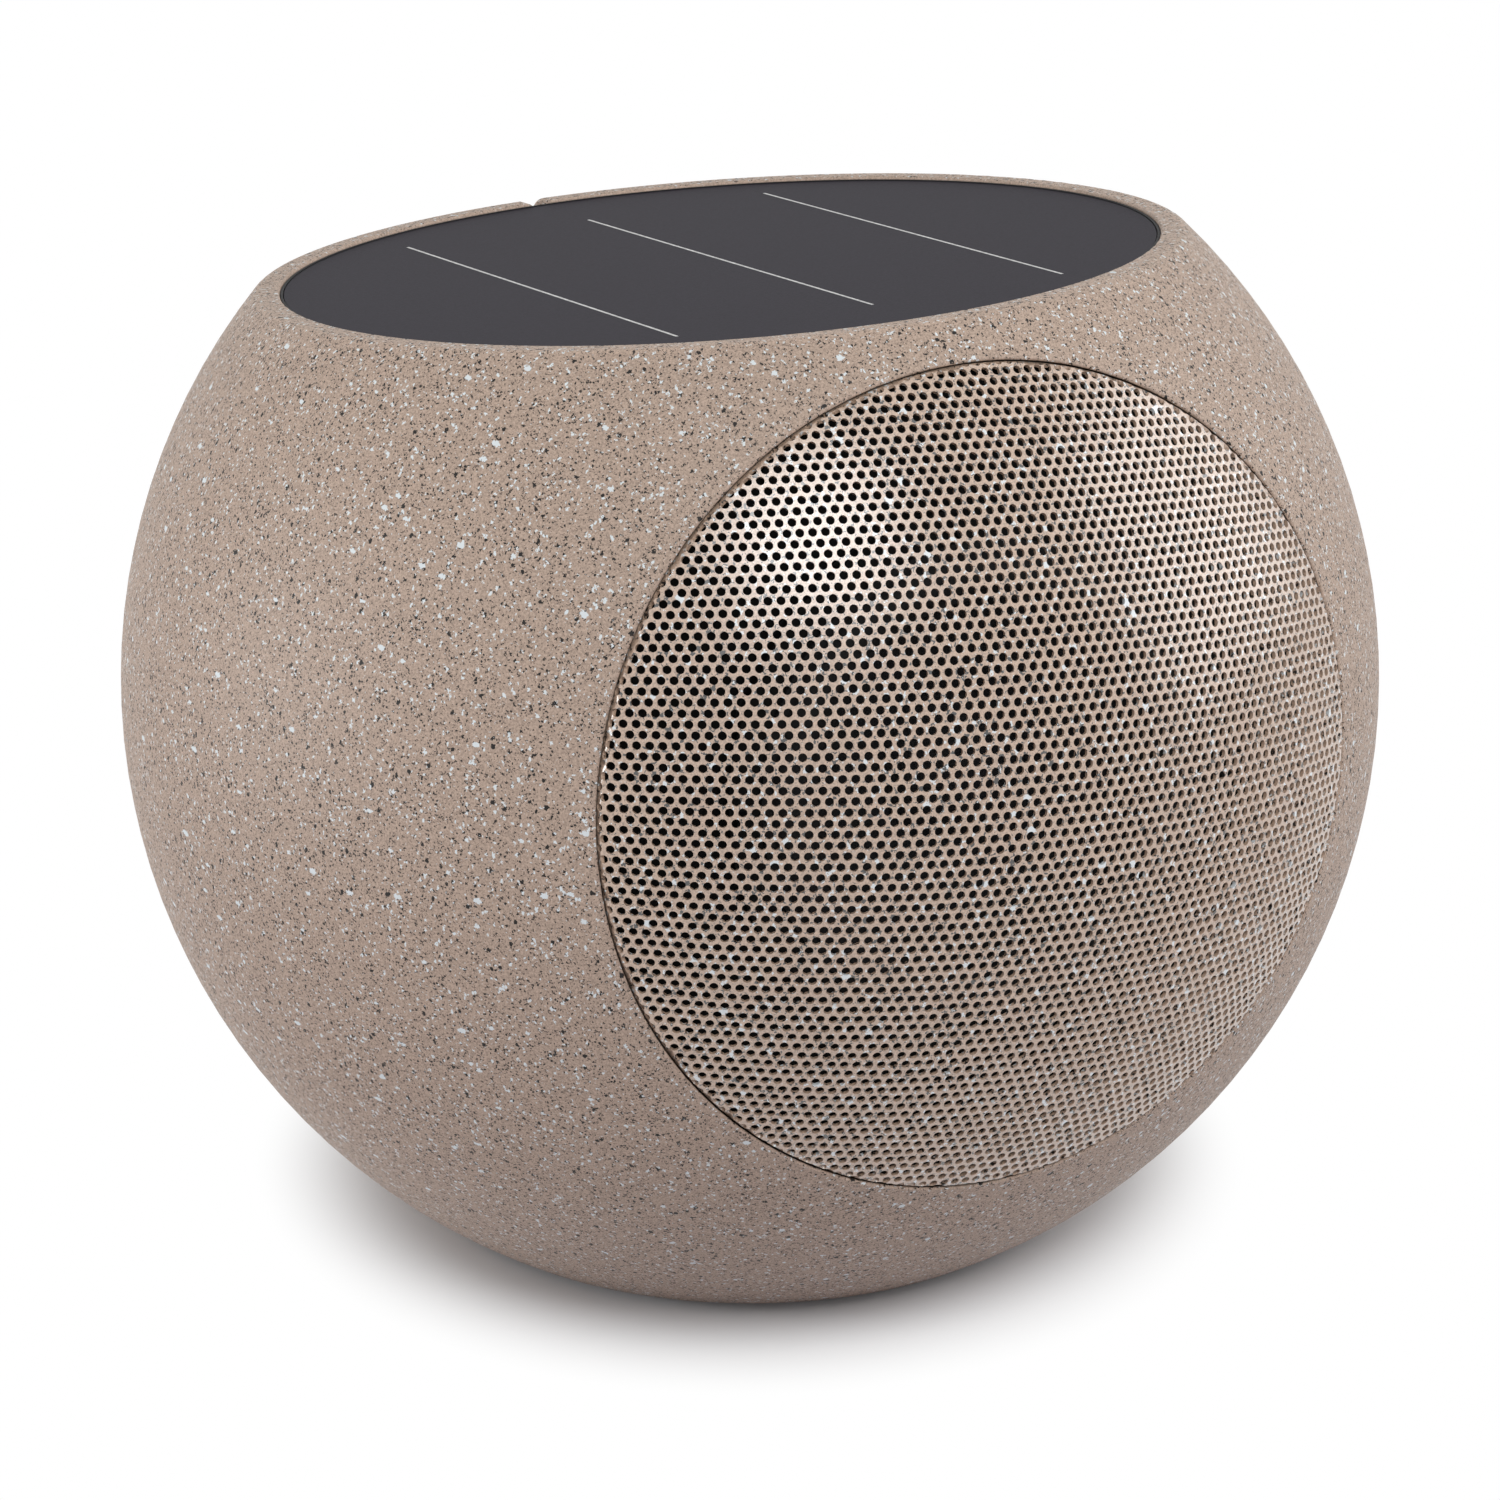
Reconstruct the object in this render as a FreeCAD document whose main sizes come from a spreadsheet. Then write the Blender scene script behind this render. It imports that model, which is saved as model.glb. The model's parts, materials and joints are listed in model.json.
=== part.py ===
import FreeCAD, Part
import os
import re
from math import atan2, cos, floor, hypot, pi, radians, sin, sqrt

import Sketcher

# Ball-shaped garden speaker: a moulded shell that leans back on a flat underside, a round
# solar panel let into its top, a domed perforated grille in its front with a loudspeaker
# behind it, and a screwed base plate that carries the battery, the boards and the controls.
# Millimetres, +Z up, the grille faces -Y, and the origin is the middle of the foot's underside.

SIZES = {
    # shell
    "ball_radius": 133.5,
    "shell_wall": 5.0,
    "lean": 9.0,
    "base_radius": 73.5,
    "base_edge_round": 1.0,
    # solar panel in the top
    "rim_angle": 46.8,
    "lip_width": 5.1,
    "lip_round": 2.5,
    "lip_edge_round": 0.5,
    "panel_recess": 0.8,
    "panel_thickness": 3.2,
    "panel_seal_wall": 0.5,
    "panel_seal_bed": 1.0,
    "panel_seal_rise": 0.2,
    "panel_clearance": 0.2,
    "ledge_width": 10.0,
    "ledge_thickness": 4.0,
    "ribbon_length": 136.0,
    "ribbon_offset": -1.75,
    "ribbon_width": 0.6,
    "ribbon_depth": 0.3,
    "ribbon_spacing": 43.1,
    "ribbon_count": 3,
    "notch_gap": 2.8,
    "notch_round": 2.0,
    "notch_depth": 2.3,
    "junction_length": 36.0,
    "junction_width": 24.0,
    "junction_height": 9.0,
    "junction_offset": 38.0,
    # grille
    "grille_half_angle": 38.5,
    "grille_sheet": 0.8,
    "grille_roll": 1.6,
    "grille_flange": 3.7,
    "grille_gap": 0.3,
    "opening_edge_round": 0.5,
    "hole_pitch": 14.0,
    "hole_radius": 4.5,
    "hole_margin": 3.0,
    "row_turn": 5.4,
    # front baffle
    "baffle_thickness": 4.0,
    "baffle_seat_width": 9.5,
    "baffle_seat_thickness": 3.5,
    "baffle_seat_overlap": 1.0,
    "baffle_screw_inset": 5.0,
    "baffle_screw_count": 6,
    # loudspeaker
    "gasket_thickness": 1.0,
    "flange_margin": 0.7,
    "basket_flange_thickness": 2.0,
    "basket_mouth": 45.7,
    "basket_sheet": 1.5,
    "basket_depth": 31.0,
    "basket_clearance": 1.0,
    "spider_seat_height": 8.0,
    "spider_seat_outer": 36.0,
    "spider_seat_inner": 31.0,
    "window_width": 30.0,
    "window_margin": 3.0,
    "window_count": 4,
    "driver_screw_count": 4,
    "head_clearance": 0.5,
    "cone_rim": 38.0,
    "cone_rim_land": 1.6,
    "cone_rise": 16.0,
    "cone_skin": 1.0,
    "surround_skin": 0.7,
    "surround_lip": 2.5,
    "cap_radius": 15.5,
    "cap_sphere": 22.0,
    "cap_skin": 0.6,
    "former_radius": 12.8,
    "former_wall": 0.3,
    "former_length": 26.0,
    "winding_wall": 0.6,
    "winding_length": 11.0,
    "coil_clearance": 0.6,
    "glue_clearance": 0.1,
    "spider_skin": 0.6,
    "spider_wave": 1.2,
    "spider_waves": 3,
    "top_plate_radius": 34.0,
    "top_plate_thickness": 5.0,
    "magnet_radius": 40.0,
    "magnet_bore": 18.0,
    "magnet_thickness": 14.0,
    "yoke_thickness": 5.0,
    "back_hole": 16.0,
    # base plate and feet
    "foot_height": 2.0,
    "foot_groove": 1.0,
    "foot_margin": 4.0,
    "foot_width": 9.0,
    "foot_edge_round": 0.8,
    "plate_thickness": 4.0,
    "plate_clearance": 0.5,
    "base_seal_thickness": 1.0,
    "base_flange_width": 8.0,
    "base_flange_thickness": 5.0,
    "base_screw_inset": 3.8,
    "base_screw_count": 6,
    "cup_radius": 25.5,
    "cup_wall": 2.5,
    "cup_depth": 6.0,
    "cup_floor": 2.5,
    # controls in the underside
    "button_radius": 5.0,
    "button_clearance": 0.3,
    "button_spacing": 26.0,
    "button_proud": 2.5,
    "button_collar": 1.5,
    "button_collar_thickness": 0.9,
    "button_stem_radius": 2.0,
    "button_stem_height": 0.7,
    "button_edge_round": 0.8,
    "button_travel": 1.0,
    "switch_gap": 0.2,
    "switch_width": 6.0,
    "control_post_height": 5.0,
    "control_post_radius": 2.2,
    "control_post_x": 17.0,
    "control_post_y": 10.5,
    "control_board_length": 42.0,
    "control_board_width": 32.0,
    "board_thickness": 1.6,
    "port_offset": 13.5,
    "port_length": 9.2,
    "port_width": 3.4,
    "port_wall": 0.4,
    "port_depth": 5.5,
    "port_clearance": 0.3,
    "port_inset": 0.6,
    "bung_clearance": 0.2,
    "bung_border": 2.0,
    "bung_thickness": 1.4,
    "bung_plug_length": 4.0,
    "bung_edge_round": 0.5,
    "light_radius": 1.6,
    "light_clearance": 0.1,
    # battery and amplifier stack
    "stack_margin": 3.0,
    "stack_post_x": 22.0,
    "stack_post_radius": 3.5,
    "stack_post_height": 15.0,
    "tray_thickness": 2.5,
    "tray_wall": 2.0,
    "tray_wall_height": 13.0,
    "pillar_height": 22.0,
    "cell_radius": 9.2,
    "cell_length": 65.0,
    "cell_count": 3,
    "cell_clearance": 0.3,
    "cell_terminal_radius": 3.0,
    "cell_terminal_height": 0.8,
    "radio_length": 24.0,
    "radio_width": 16.0,
    "radio_height": 2.8,
    "radio_x": -20.0,
    "radio_y": 12.0,
    "coil_core_radius": 6.0,
    "coil_core_height": 6.0,
    "coil_core_x": 4.0,
    "coil_core_spacing": 16.0,
    "capacitor_radius": 5.0,
    "capacitor_height": 14.0,
    "capacitor_x": 24.0,
    "capacitor_spacing": 13.0,
    "capacitor_count": 3,
    "socket_length": 8.0,
    "socket_width": 6.0,
    "socket_height": 7.0,
    "socket_spacing": 16.0,
    "socket_count": 3,
    "socket_y": -24.0,
    # screws
    "screw_radius": 1.5,
    "screw_clearance": 0.1,
    "screw_head_radius": 2.8,
    "screw_head_height": 1.8,
    "screw_bite": 6.0,
    "small_screw_radius": 1.1,
    "small_screw_head_radius": 2.0,
    "small_screw_head_height": 1.4,
    "small_screw_bite": 4.0,
}

PLACES = {
    # shell, measured from the ball's centre
    "shell_inner": "ball_radius - shell_wall",
    "shell_middle": "ball_radius - shell_wall / 2",
    "base_drop": "sqrt(ball_radius ^ 2 - base_radius ^ 2)",
    "ball_height": "foot_height + base_drop",
    "rim_height": "ball_radius * cos(rim_angle)",
    "panel_opening": "ball_radius * sin(rim_angle) - lip_width",
    "lip_centre": "sqrt((ball_radius - lip_round) ^ 2 - (rim_height - lip_round) ^ 2)",
    "lip_tangent": "lip_centre * ball_radius / (ball_radius - lip_round)",
    "panel_top": "rim_height - panel_recess",
    "panel_bottom": "panel_top - panel_thickness",
    "ledge_top": "panel_bottom - panel_seal_bed",
    "ledge_bottom": "ledge_top - ledge_thickness",
    "ledge_inner": "panel_opening - ledge_width",
    "seal_inner": "panel_opening - panel_clearance - panel_seal_wall",
    "panel_radius": "seal_inner - panel_clearance",
    # front, measured from the ball's centre along the grille's axis
    "grille_edge": "ball_radius * sin(grille_half_angle)",
    "roll_centre_x": "grille_edge - grille_roll",
    "roll_centre_z": "sqrt((ball_radius - grille_roll) ^ 2 - roll_centre_x ^ 2)",
    "roll_tangent": "roll_centre_x * ball_radius / (ball_radius - grille_roll)",
    "roll_inner_tangent": "roll_centre_x * (ball_radius - grille_sheet) / (ball_radius - grille_roll)",
    "opening_radius": "grille_edge + grille_gap",
    "baffle_front": "roll_centre_z - grille_flange",
    "baffle_back": "baffle_front - baffle_thickness",
    "baffle_seat_inner": "opening_radius - baffle_seat_width",
    "baffle_seat_back": "baffle_back - baffle_seat_thickness",
    "baffle_seat_reach": "shell_inner + baffle_seat_overlap",
    "baffle_screw_circle": "opening_radius - baffle_screw_inset",
    "basket_outside": "basket_mouth + basket_sheet",
    "surround_outer": "basket_mouth + surround_lip",
    "driver_screw_circle": "surround_outer + head_clearance + screw_head_radius",
    "basket_flange": "driver_screw_circle + screw_head_radius + flange_margin",
    "baffle_hole": "basket_outside + basket_clearance",
    "flange_bottom": "baffle_front + gasket_thickness",
    "flange_face": "flange_bottom + basket_flange_thickness",
    "basket_back": "flange_bottom - basket_depth",
    "spider_seat": "basket_back + spider_seat_height",
    "yoke_front": "basket_back - top_plate_thickness - magnet_thickness",
    "yoke_back": "yoke_front - yoke_thickness",
    "winding_radius": "former_radius + former_wall + winding_wall",
    "pole_radius": "former_radius - coil_clearance",
    "plate_bore": "winding_radius + coil_clearance",
    "former_outside": "former_radius + former_wall",
    "cone_neck": "former_outside + glue_clearance",
    "cone_rim_inner": "cone_rim - cone_rim_land",
    "cone_bottom": "flange_face - cone_rise",
    "cone_slope": "(cone_rise - cone_skin) / (cone_rim_inner - cone_neck)",
    "former_top": "cone_bottom + cone_skin",
    "former_bottom": "former_top - former_length",
    "cap_base": "cone_bottom + cone_skin + (cap_radius - cone_neck) * cone_slope",
    "cap_centre": "cap_base - sqrt(cap_sphere ^ 2 - cap_radius ^ 2)",
    "cap_inner": "sqrt((cap_sphere - cap_skin) ^ 2 - (cap_base - cap_centre) ^ 2)",
    "roll_middle": "(cone_rim + basket_mouth) / 2",
    "roll_inside": "(basket_mouth - cone_rim) / 2 - surround_skin / 2",
    "roll_outside": "roll_inside + surround_skin",
    # underside, measured from the floor
    "plate_top": "foot_height + plate_thickness",
    "base_seal_top": "plate_top + base_seal_thickness",
    "base_flange_top": "base_seal_top + base_flange_thickness",
    "base_opening": "sqrt(shell_inner ^ 2 - base_drop ^ 2)",
    "base_flange_inner": "base_opening - base_flange_width",
    "plate_radius": "base_opening - plate_clearance",
    "base_screw_circle": "plate_radius - base_screw_inset",
    "foot_outer": "base_screw_circle - screw_head_radius - foot_margin",
    "foot_inner": "foot_outer - foot_width",
    "cup_floor_bottom": "foot_height + cup_depth",
    "cup_floor_top": "cup_floor_bottom + cup_floor",
    "control_board_bottom": "cup_floor_top + control_post_height",
    "control_board_top": "control_board_bottom + board_thickness",
    "button_hole": "button_radius + button_clearance",
    "button_stem_top": "cup_floor_top + button_collar_thickness + button_stem_height",
    "switch_bottom": "button_stem_top + button_travel + switch_gap",
    "port_mouth": "cup_floor_bottom + port_inset",
    "tray_bottom": "plate_top + stack_post_height",
    "tray_top": "tray_bottom + tray_thickness",
    "stack_board_bottom": "tray_top + pillar_height",
    "stack_board_top": "stack_board_bottom + board_thickness",
    "cell_spacing": "2 * cell_radius + cell_clearance",
    "cell_row_half": "cell_spacing * cell_count / 2",
    "cell_end": "cell_length / 2 + cell_terminal_height + cell_clearance",
    "stack_post_y": "cell_row_half + tray_wall / 2 + stack_post_radius",
    "stack_length": "2 * (cell_end + tray_wall + stack_margin)",
    "stack_width": "2 * (stack_post_y + stack_post_radius + stack_margin)",
    "screw_hole": "screw_radius + screw_clearance",
    "small_screw_hole": "small_screw_radius + screw_clearance",
}

SAME_SPOT = 0.01

doc = FreeCAD.newDocument("garden_speaker")
sheet = doc.addObject("Spreadsheet::Sheet", "Sizes")
reckoner = doc.addObject("Spreadsheet::Sheet", "Reckoner")
pieces = []


def fill_sheet():
    """Put every driving size, then every place worked out from them, into the sheet."""
    cells = {name: str(number) for name, number in SIZES.items()}
    cells.update({name: "=" + formula for name, formula in PLACES.items()})
    for row, (name, content) in enumerate(cells.items(), start=1):
        sheet.set("A%d" % row, name)
        sheet.set("B%d" % row, content)
        sheet.setAlias("B%d" % row, name)
    doc.recompute()


def linked(expression):
    """The expression with each name of a size tied to the sheet."""
    def tie(word):
        name = word.group()
        return "Sizes." + name if name in SIZES or name in PLACES else name
    return re.sub(r"[a-z_]+", tie, expression)


def measure(expression):
    """The present value of an expression of sizes."""
    reckoner.set("A1", "=" + linked(expression))
    reckoner.recompute()
    return float(reckoner.get("A1"))


def new_piece(name, turn=None):
    """A body in the floor's frame, or in a frame at the ball's centre turned about X."""
    piece = doc.addObject("PartDesign::Body", name)
    piece.Label = name
    if turn is not None:
        place = "placement(vector(0; 0; ball_height); rotation(vector(1; 0; 0); %s))" % turn
        piece.setExpression("Placement", linked(place))
    pieces.append(piece)
    return piece


def in_shell(name):
    """A piece whose Z is the solar panel's normal and whose -Y is the grille's axis."""
    return new_piece(name, "-lean")


def in_front(name):
    """A piece whose Z is the grille's axis and whose Y is the solar panel's normal."""
    return new_piece(name, "90 - lean")


def new_sketch(piece, name, plane="XZ_Plane", lift="0", tilt=None, spin=None):
    """A sketch on one of the body's own planes, lifted along its normal or turned in place."""
    sketch = piece.newObject("Sketcher::SketchObject", name)
    support = [part for part in piece.Origin.OriginFeatures if part.Role == plane]
    sketch.AttachmentSupport = (support[0], [""])
    sketch.MapMode = "FlatFace"
    turn = "rotation(vector(1; 0; 0); %s)" % (tilt or "0")
    if spin is not None:
        turn = "rotation(vector(0; 0; 1); %s)" % spin
    offset = "placement(vector(0; 0; %s); %s)" % (lift, turn)
    if tilt is not None:
        spot = "0; -(%s) * sin(%s); %s * cos(%s)" % (lift, tilt, lift, tilt)
        offset = "placement(vector(%s); %s)" % (spot, turn)
    sketch.setExpression("AttachmentOffset", linked(offset))
    return sketch


def hold(sketch, geometry, point, x, y):
    """Tie one point of a sketch to the expressions of its two coordinates."""
    for kind, axis, expression in (("DistanceX", -2, x), ("DistanceY", -1, y)):
        if expression in ("+", "-"):
            continue
        if expression == "0":
            sketch.addConstraint(Sketcher.Constraint("PointOnObject", geometry, point, axis))
            continue
        number = sketch.addConstraint(
            Sketcher.Constraint(kind, -1, 1, geometry, point, measure(expression)))
        sketch.setExpression("Constraints[%d]" % number, linked(expression))


def spot_of(corner, before, spot_before):
    """Where a corner lies; a + or - coordinate is found on the arc that ends there."""
    x, y = corner[:2]
    if x not in ("+", "-") and y not in ("+", "-"):
        return measure(x), measure(y)
    centre_x = measure(before[2][0])
    centre_y = measure(before[2][1])
    radius = hypot(spot_before[0] - centre_x, spot_before[1] - centre_y)
    if x in ("+", "-"):
        height = measure(y)
        reach = sqrt(radius ** 2 - (height - centre_y) ** 2)
        return centre_x + (reach if x == "+" else -reach), height
    across = measure(x)
    reach = sqrt(radius ** 2 - (across - centre_x) ** 2)
    return across, centre_y + (reach if y == "+" else -reach)


def outline(sketch, corners):
    """A closed outline through corners, each an (x, y) of expressions. A third entry, the
    expressions of a centre, makes the stretch to the next corner an arc about it."""
    spots = []
    for index, corner in enumerate(corners):
        spots.append(spot_of(corner, corners[index - 1], spots[index - 1] if index else None))
    first = sketch.GeometryCount
    ends = []
    for index, corner in enumerate(corners):
        start = spots[index]
        end = spots[(index + 1) % len(spots)]
        ends.append(stretch(sketch, corner, start, end))
    for index, corner in enumerate(corners):
        before = ends[index - 1]
        sketch.addConstraint(Sketcher.Constraint(
            "Coincident", first + (index - 1) % len(corners), before[1], first + index, ends[index][0]))
        hold(sketch, first + index, ends[index][0], corner[0], corner[1])
        if len(corner) > 2:
            hold(sketch, first + index, 3, corner[2][0], corner[2][1])


def stretch(sketch, corner, start, end):
    """One line or arc of an outline. Returns which of its points are its start and its end."""
    if len(corner) == 2:
        sketch.addGeometry(Part.LineSegment(FreeCAD.Vector(*start, 0), FreeCAD.Vector(*end, 0)))
        return 1, 2
    centre = measure(corner[2][0]), measure(corner[2][1])
    radius = hypot(start[0] - centre[0], start[1] - centre[1])
    begin = atan2(start[1] - centre[1], start[0] - centre[0])
    finish = atan2(end[1] - centre[1], end[0] - centre[0])
    forward = (finish - begin) % (2 * pi) < pi
    circle = Part.Circle(FreeCAD.Vector(*centre, 0), FreeCAD.Vector(0, 0, 1), radius)
    angles = (begin, finish) if forward else (finish, begin)
    sketch.addGeometry(Part.ArcOfCircle(circle, *angles))
    return (1, 2) if forward else (2, 1)


def rectangle(sketch, length, width, x="0", y="0"):
    """A rectangle of the given sides about a middle point."""
    left = "%s - (%s) / 2" % (x, length)
    right = "%s + (%s) / 2" % (x, length)
    low = "%s - (%s) / 2" % (y, width)
    high = "%s + (%s) / 2" % (y, width)
    outline(sketch, [(left, low), (right, low), (right, high), (left, high)])


def circle(sketch, radius, x="0", y="0"):
    """A full circle about a middle point."""
    middle = FreeCAD.Vector(measure(x), measure(y), 0)
    geometry = sketch.addGeometry(Part.Circle(middle, FreeCAD.Vector(0, 0, 1), measure(radius)))
    hold(sketch, geometry, 3, x, y)
    number = sketch.addConstraint(Sketcher.Constraint("Radius", geometry, measure(radius)))
    sketch.setExpression("Constraints[%d]" % number, linked(radius))


def four_corners(sketch, radius, x, y):
    """The same circle at the four corners of a rectangle."""
    for sign_x in ("", "-"):
        for sign_y in ("", "-"):
            circle(sketch, radius, sign_x + x, sign_y + y)


def feature(piece, kind, name, sketch, **settings):
    """A solid feature made from a sketch; text settings are expressions of sizes."""
    solid = piece.newObject("PartDesign::" + kind, name)
    solid.Profile = sketch
    for prop, setting in settings.items():
        if isinstance(setting, str):
            solid.setExpression(prop, linked(setting))
        else:
            setattr(solid, prop, setting)
    doc.recompute()
    return solid


def turned(piece, name, corners, kind="Revolution", plane="XZ_Plane", tilt=None):
    """A full turn of an outline about its sketch's upright axis."""
    sketch = new_sketch(piece, name + "_profile", plane, tilt=tilt)
    outline(sketch, corners)
    return feature(piece, kind, name, sketch, ReferenceAxis=(sketch, ["V_Axis"]), Angle=360.0)


def around(piece, name, original, axis, count):
    """Copies of a feature evenly spaced round an axis."""
    pattern = piece.newObject("PartDesign::PolarPattern", name)
    pattern.Originals = [original]
    pattern.Axis = axis
    pattern.Angle = 360.0
    pattern.setExpression("Occurrences", linked(count))
    piece.Tip = pattern
    doc.recompute()
    return pattern


def along(piece, name, original, axis, length, count):
    """Copies of a feature evenly spaced along an axis, over a total length."""
    pattern = piece.newObject("PartDesign::LinearPattern", name)
    pattern.Originals = [original]
    pattern.Direction = axis
    pattern.setExpression("Length", linked(length))
    pattern.setExpression("Occurrences", linked(count))
    piece.Tip = pattern
    doc.recompute()
    return pattern


def round_edges(piece, name, base, radius, chosen):
    """A fillet on the base's edges whose points all pass a test."""
    edges = []
    for index, edge in enumerate(base.Shape.Edges, start=1):
        if not edge.Degenerated and all(chosen(point) for point in edge.discretize(5)):
            edges.append("Edge%d" % index)
    fillet = piece.newObject("PartDesign::Fillet", name)
    fillet.Base = (base, edges)
    fillet.setExpression("Radius", linked(radius))
    doc.recompute()
    return fillet


def near(number, expression):
    """True where a measured number is the size that an expression gives."""
    return abs(number - measure(expression)) < SAME_SPOT


def drilled(piece, name, radius, circle_radius, count, bottom, depth, plane="XY_Plane", tilt=None):
    """A ring of straight holes from a plane, cut along its normal."""
    sketch = new_sketch(piece, name + "_sketch", plane, bottom, tilt=tilt)
    circle(sketch, radius, circle_radius, "0")
    hole = feature(piece, "Pocket", name, sketch, Length=depth, Reversed=True)
    return around(piece, name + "_ring", hole, (sketch, ["N_Axis"]), count)


def make_shell():
    """Hollow ball with a lip and a ledge for the panel, a round opening for the grille with a
    seat behind it, and a flat open underside with a flange inside it."""
    piece = in_shell("housing_shell")
    centre = ("0", "0")
    lip_corner = "panel_opening + lip_edge_round"
    flange_bottom = "base_seal_top - ball_height"
    turned(piece, "ball", [
        ("0", "-ball_radius", centre),
        ("lip_tangent", "+", ("lip_centre", "rim_height - lip_round")),
        ("lip_centre", "+"),
        (lip_corner, "rim_height", (lip_corner, "rim_height - lip_edge_round")),
        ("-", "rim_height - lip_edge_round"),
        ("panel_opening", "ledge_top"),
        ("ledge_inner", "ledge_top"),
        ("ledge_inner", "ledge_bottom"),
        ("sqrt(shell_inner ^ 2 - ledge_bottom ^ 2)", "ledge_bottom", centre),
        ("0", "-"),
    ])
    turned(piece, "baffle_seat", [
        ("baffle_seat_inner", "-baffle_back"),
        ("sqrt(baffle_seat_reach ^ 2 - baffle_back ^ 2)", "-baffle_back", centre),
        ("+", "-baffle_seat_back"),
        ("baffle_seat_inner", "-baffle_seat_back"),
    ], plane="XY_Plane")
    turned(piece, "base_flange", [
        ("base_flange_inner", flange_bottom),
        ("sqrt(shell_middle ^ 2 - (%s) ^ 2)" % flange_bottom, flange_bottom, centre),
        ("+", "base_flange_top - ball_height"),
        ("base_flange_inner", "base_flange_top - ball_height"),
    ], tilt="lean")
    recess = new_sketch(piece, "panel_recess_sketch", "XY_Plane", "ledge_top")
    circle(recess, "panel_opening")
    feature(piece, "Pocket", "panel_recess_cut", recess, Length="ball_radius", Reversed=True)
    mouth = new_sketch(piece, "grille_opening_sketch", "XZ_Plane", "baffle_back")
    circle(mouth, "opening_radius")
    opening = feature(piece, "Pocket", "grille_opening", mouth, Length="ball_radius", Reversed=True)
    round_edges(piece, "opening_edge", opening, "opening_edge_round", on_opening_edge)
    flat = new_sketch(piece, "underside_sketch", "XY_Plane", "-base_drop", tilt="lean")
    circle(flat, "ball_radius")
    underside = feature(piece, "Pocket", "underside", flat, Length="ball_radius")
    round_edges(piece, "underside_edge", underside, "base_edge_round", on_base_edge)
    drilled(piece, "base_pilot", "screw_hole", "base_screw_circle", "base_screw_count",
            "-base_drop", "base_flange_top - foot_height", tilt="lean")
    drilled(piece, "baffle_pilot", "screw_hole", "baffle_screw_circle", "baffle_screw_count",
            "baffle_seat_back", "baffle_seat_thickness", plane="XZ_Plane")
    cut_drain_notch(piece)


def on_opening_edge(point):
    """The outer edge of the grille's opening."""
    return near(hypot(point.x, point.z), "opening_radius") and near(point.Length, "ball_radius")


def on_base_edge(point):
    """The outer edge of the flat underside."""
    lean = radians(measure("lean"))
    down = FreeCAD.Vector(0, sin(lean), -cos(lean))
    return near(point.Length, "ball_radius") and near(point.dot(down), "base_drop")


def cut_drain_notch(piece):
    """A narrow drain with rounded shoulders through the back of the lip, deeper than the panel."""
    notch = new_sketch(piece, "drain_notch_sketch", "XZ_Plane", "-seal_inner")
    shoulder = "(notch_gap / 2 + notch_round)"
    round_height = "rim_height - notch_round"
    outline(notch, [
        ("-" + shoulder, "rim_height + notch_round"),
        ("-" + shoulder, "rim_height", ("-" + shoulder, round_height)),
        ("+", round_height),
        ("-notch_gap / 2", "rim_height - notch_depth"),
        ("notch_gap / 2", "rim_height - notch_depth"),
        ("notch_gap / 2", round_height, (shoulder, round_height)),
        (shoulder, "+"),
        (shoulder, "rim_height + notch_round"),
    ])
    feature(piece, "Pocket", "drain_notch", notch, Length="ball_radius")


def make_panel():
    """Round laminated panel with a shallow groove for each ribbon, the ribbons, and the seal."""
    panel = in_shell("solar_panel")
    disc = new_sketch(panel, "panel_disc_sketch", "XY_Plane", "panel_bottom")
    circle(disc, "panel_radius")
    feature(panel, "Pad", "panel_disc", disc, Length="panel_thickness")
    grooves = new_sketch(panel, "ribbon_groove_sketch", "XY_Plane", "panel_top")
    draw_ribbons(grooves, "panel_clearance / 2")
    feature(panel, "Pocket", "ribbon_grooves", grooves, Length="ribbon_depth")
    ribbons = in_shell("panel_ribbons")
    strips = new_sketch(ribbons, "ribbon_sketch", "XY_Plane", "panel_top - ribbon_depth")
    draw_ribbons(strips, "0")
    feature(ribbons, "Pad", "ribbon_strips", strips, Length="ribbon_depth")
    turned(in_shell("panel_seal"), "seal_ring", [
        ("ledge_inner", "ledge_top"),
        ("panel_opening - panel_clearance", "ledge_top"),
        ("panel_opening - panel_clearance", "panel_top + panel_seal_rise"),
        ("seal_inner", "panel_top + panel_seal_rise"),
        ("seal_inner", "panel_bottom"),
        ("ledge_inner", "panel_bottom"),
    ])
    box = in_shell("panel_junction_box")
    footprint = new_sketch(box, "junction_sketch", "XY_Plane", "panel_bottom")
    rectangle(footprint, "junction_length", "junction_width", "0", "junction_offset")
    feature(box, "Pad", "junction_block", footprint, Length="junction_height", Reversed=True)


def draw_ribbons(sketch, border):
    """The row of ribbon outlines that run from front to back."""
    count = int(measure("ribbon_count"))
    for index in range(count):
        middle = "ribbon_spacing * (%d - (ribbon_count - 1) / 2)" % index
        rectangle(sketch, "ribbon_width + 2 * (%s)" % border, "ribbon_length + 2 * (%s)" % border,
                  middle, "ribbon_offset")


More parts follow.
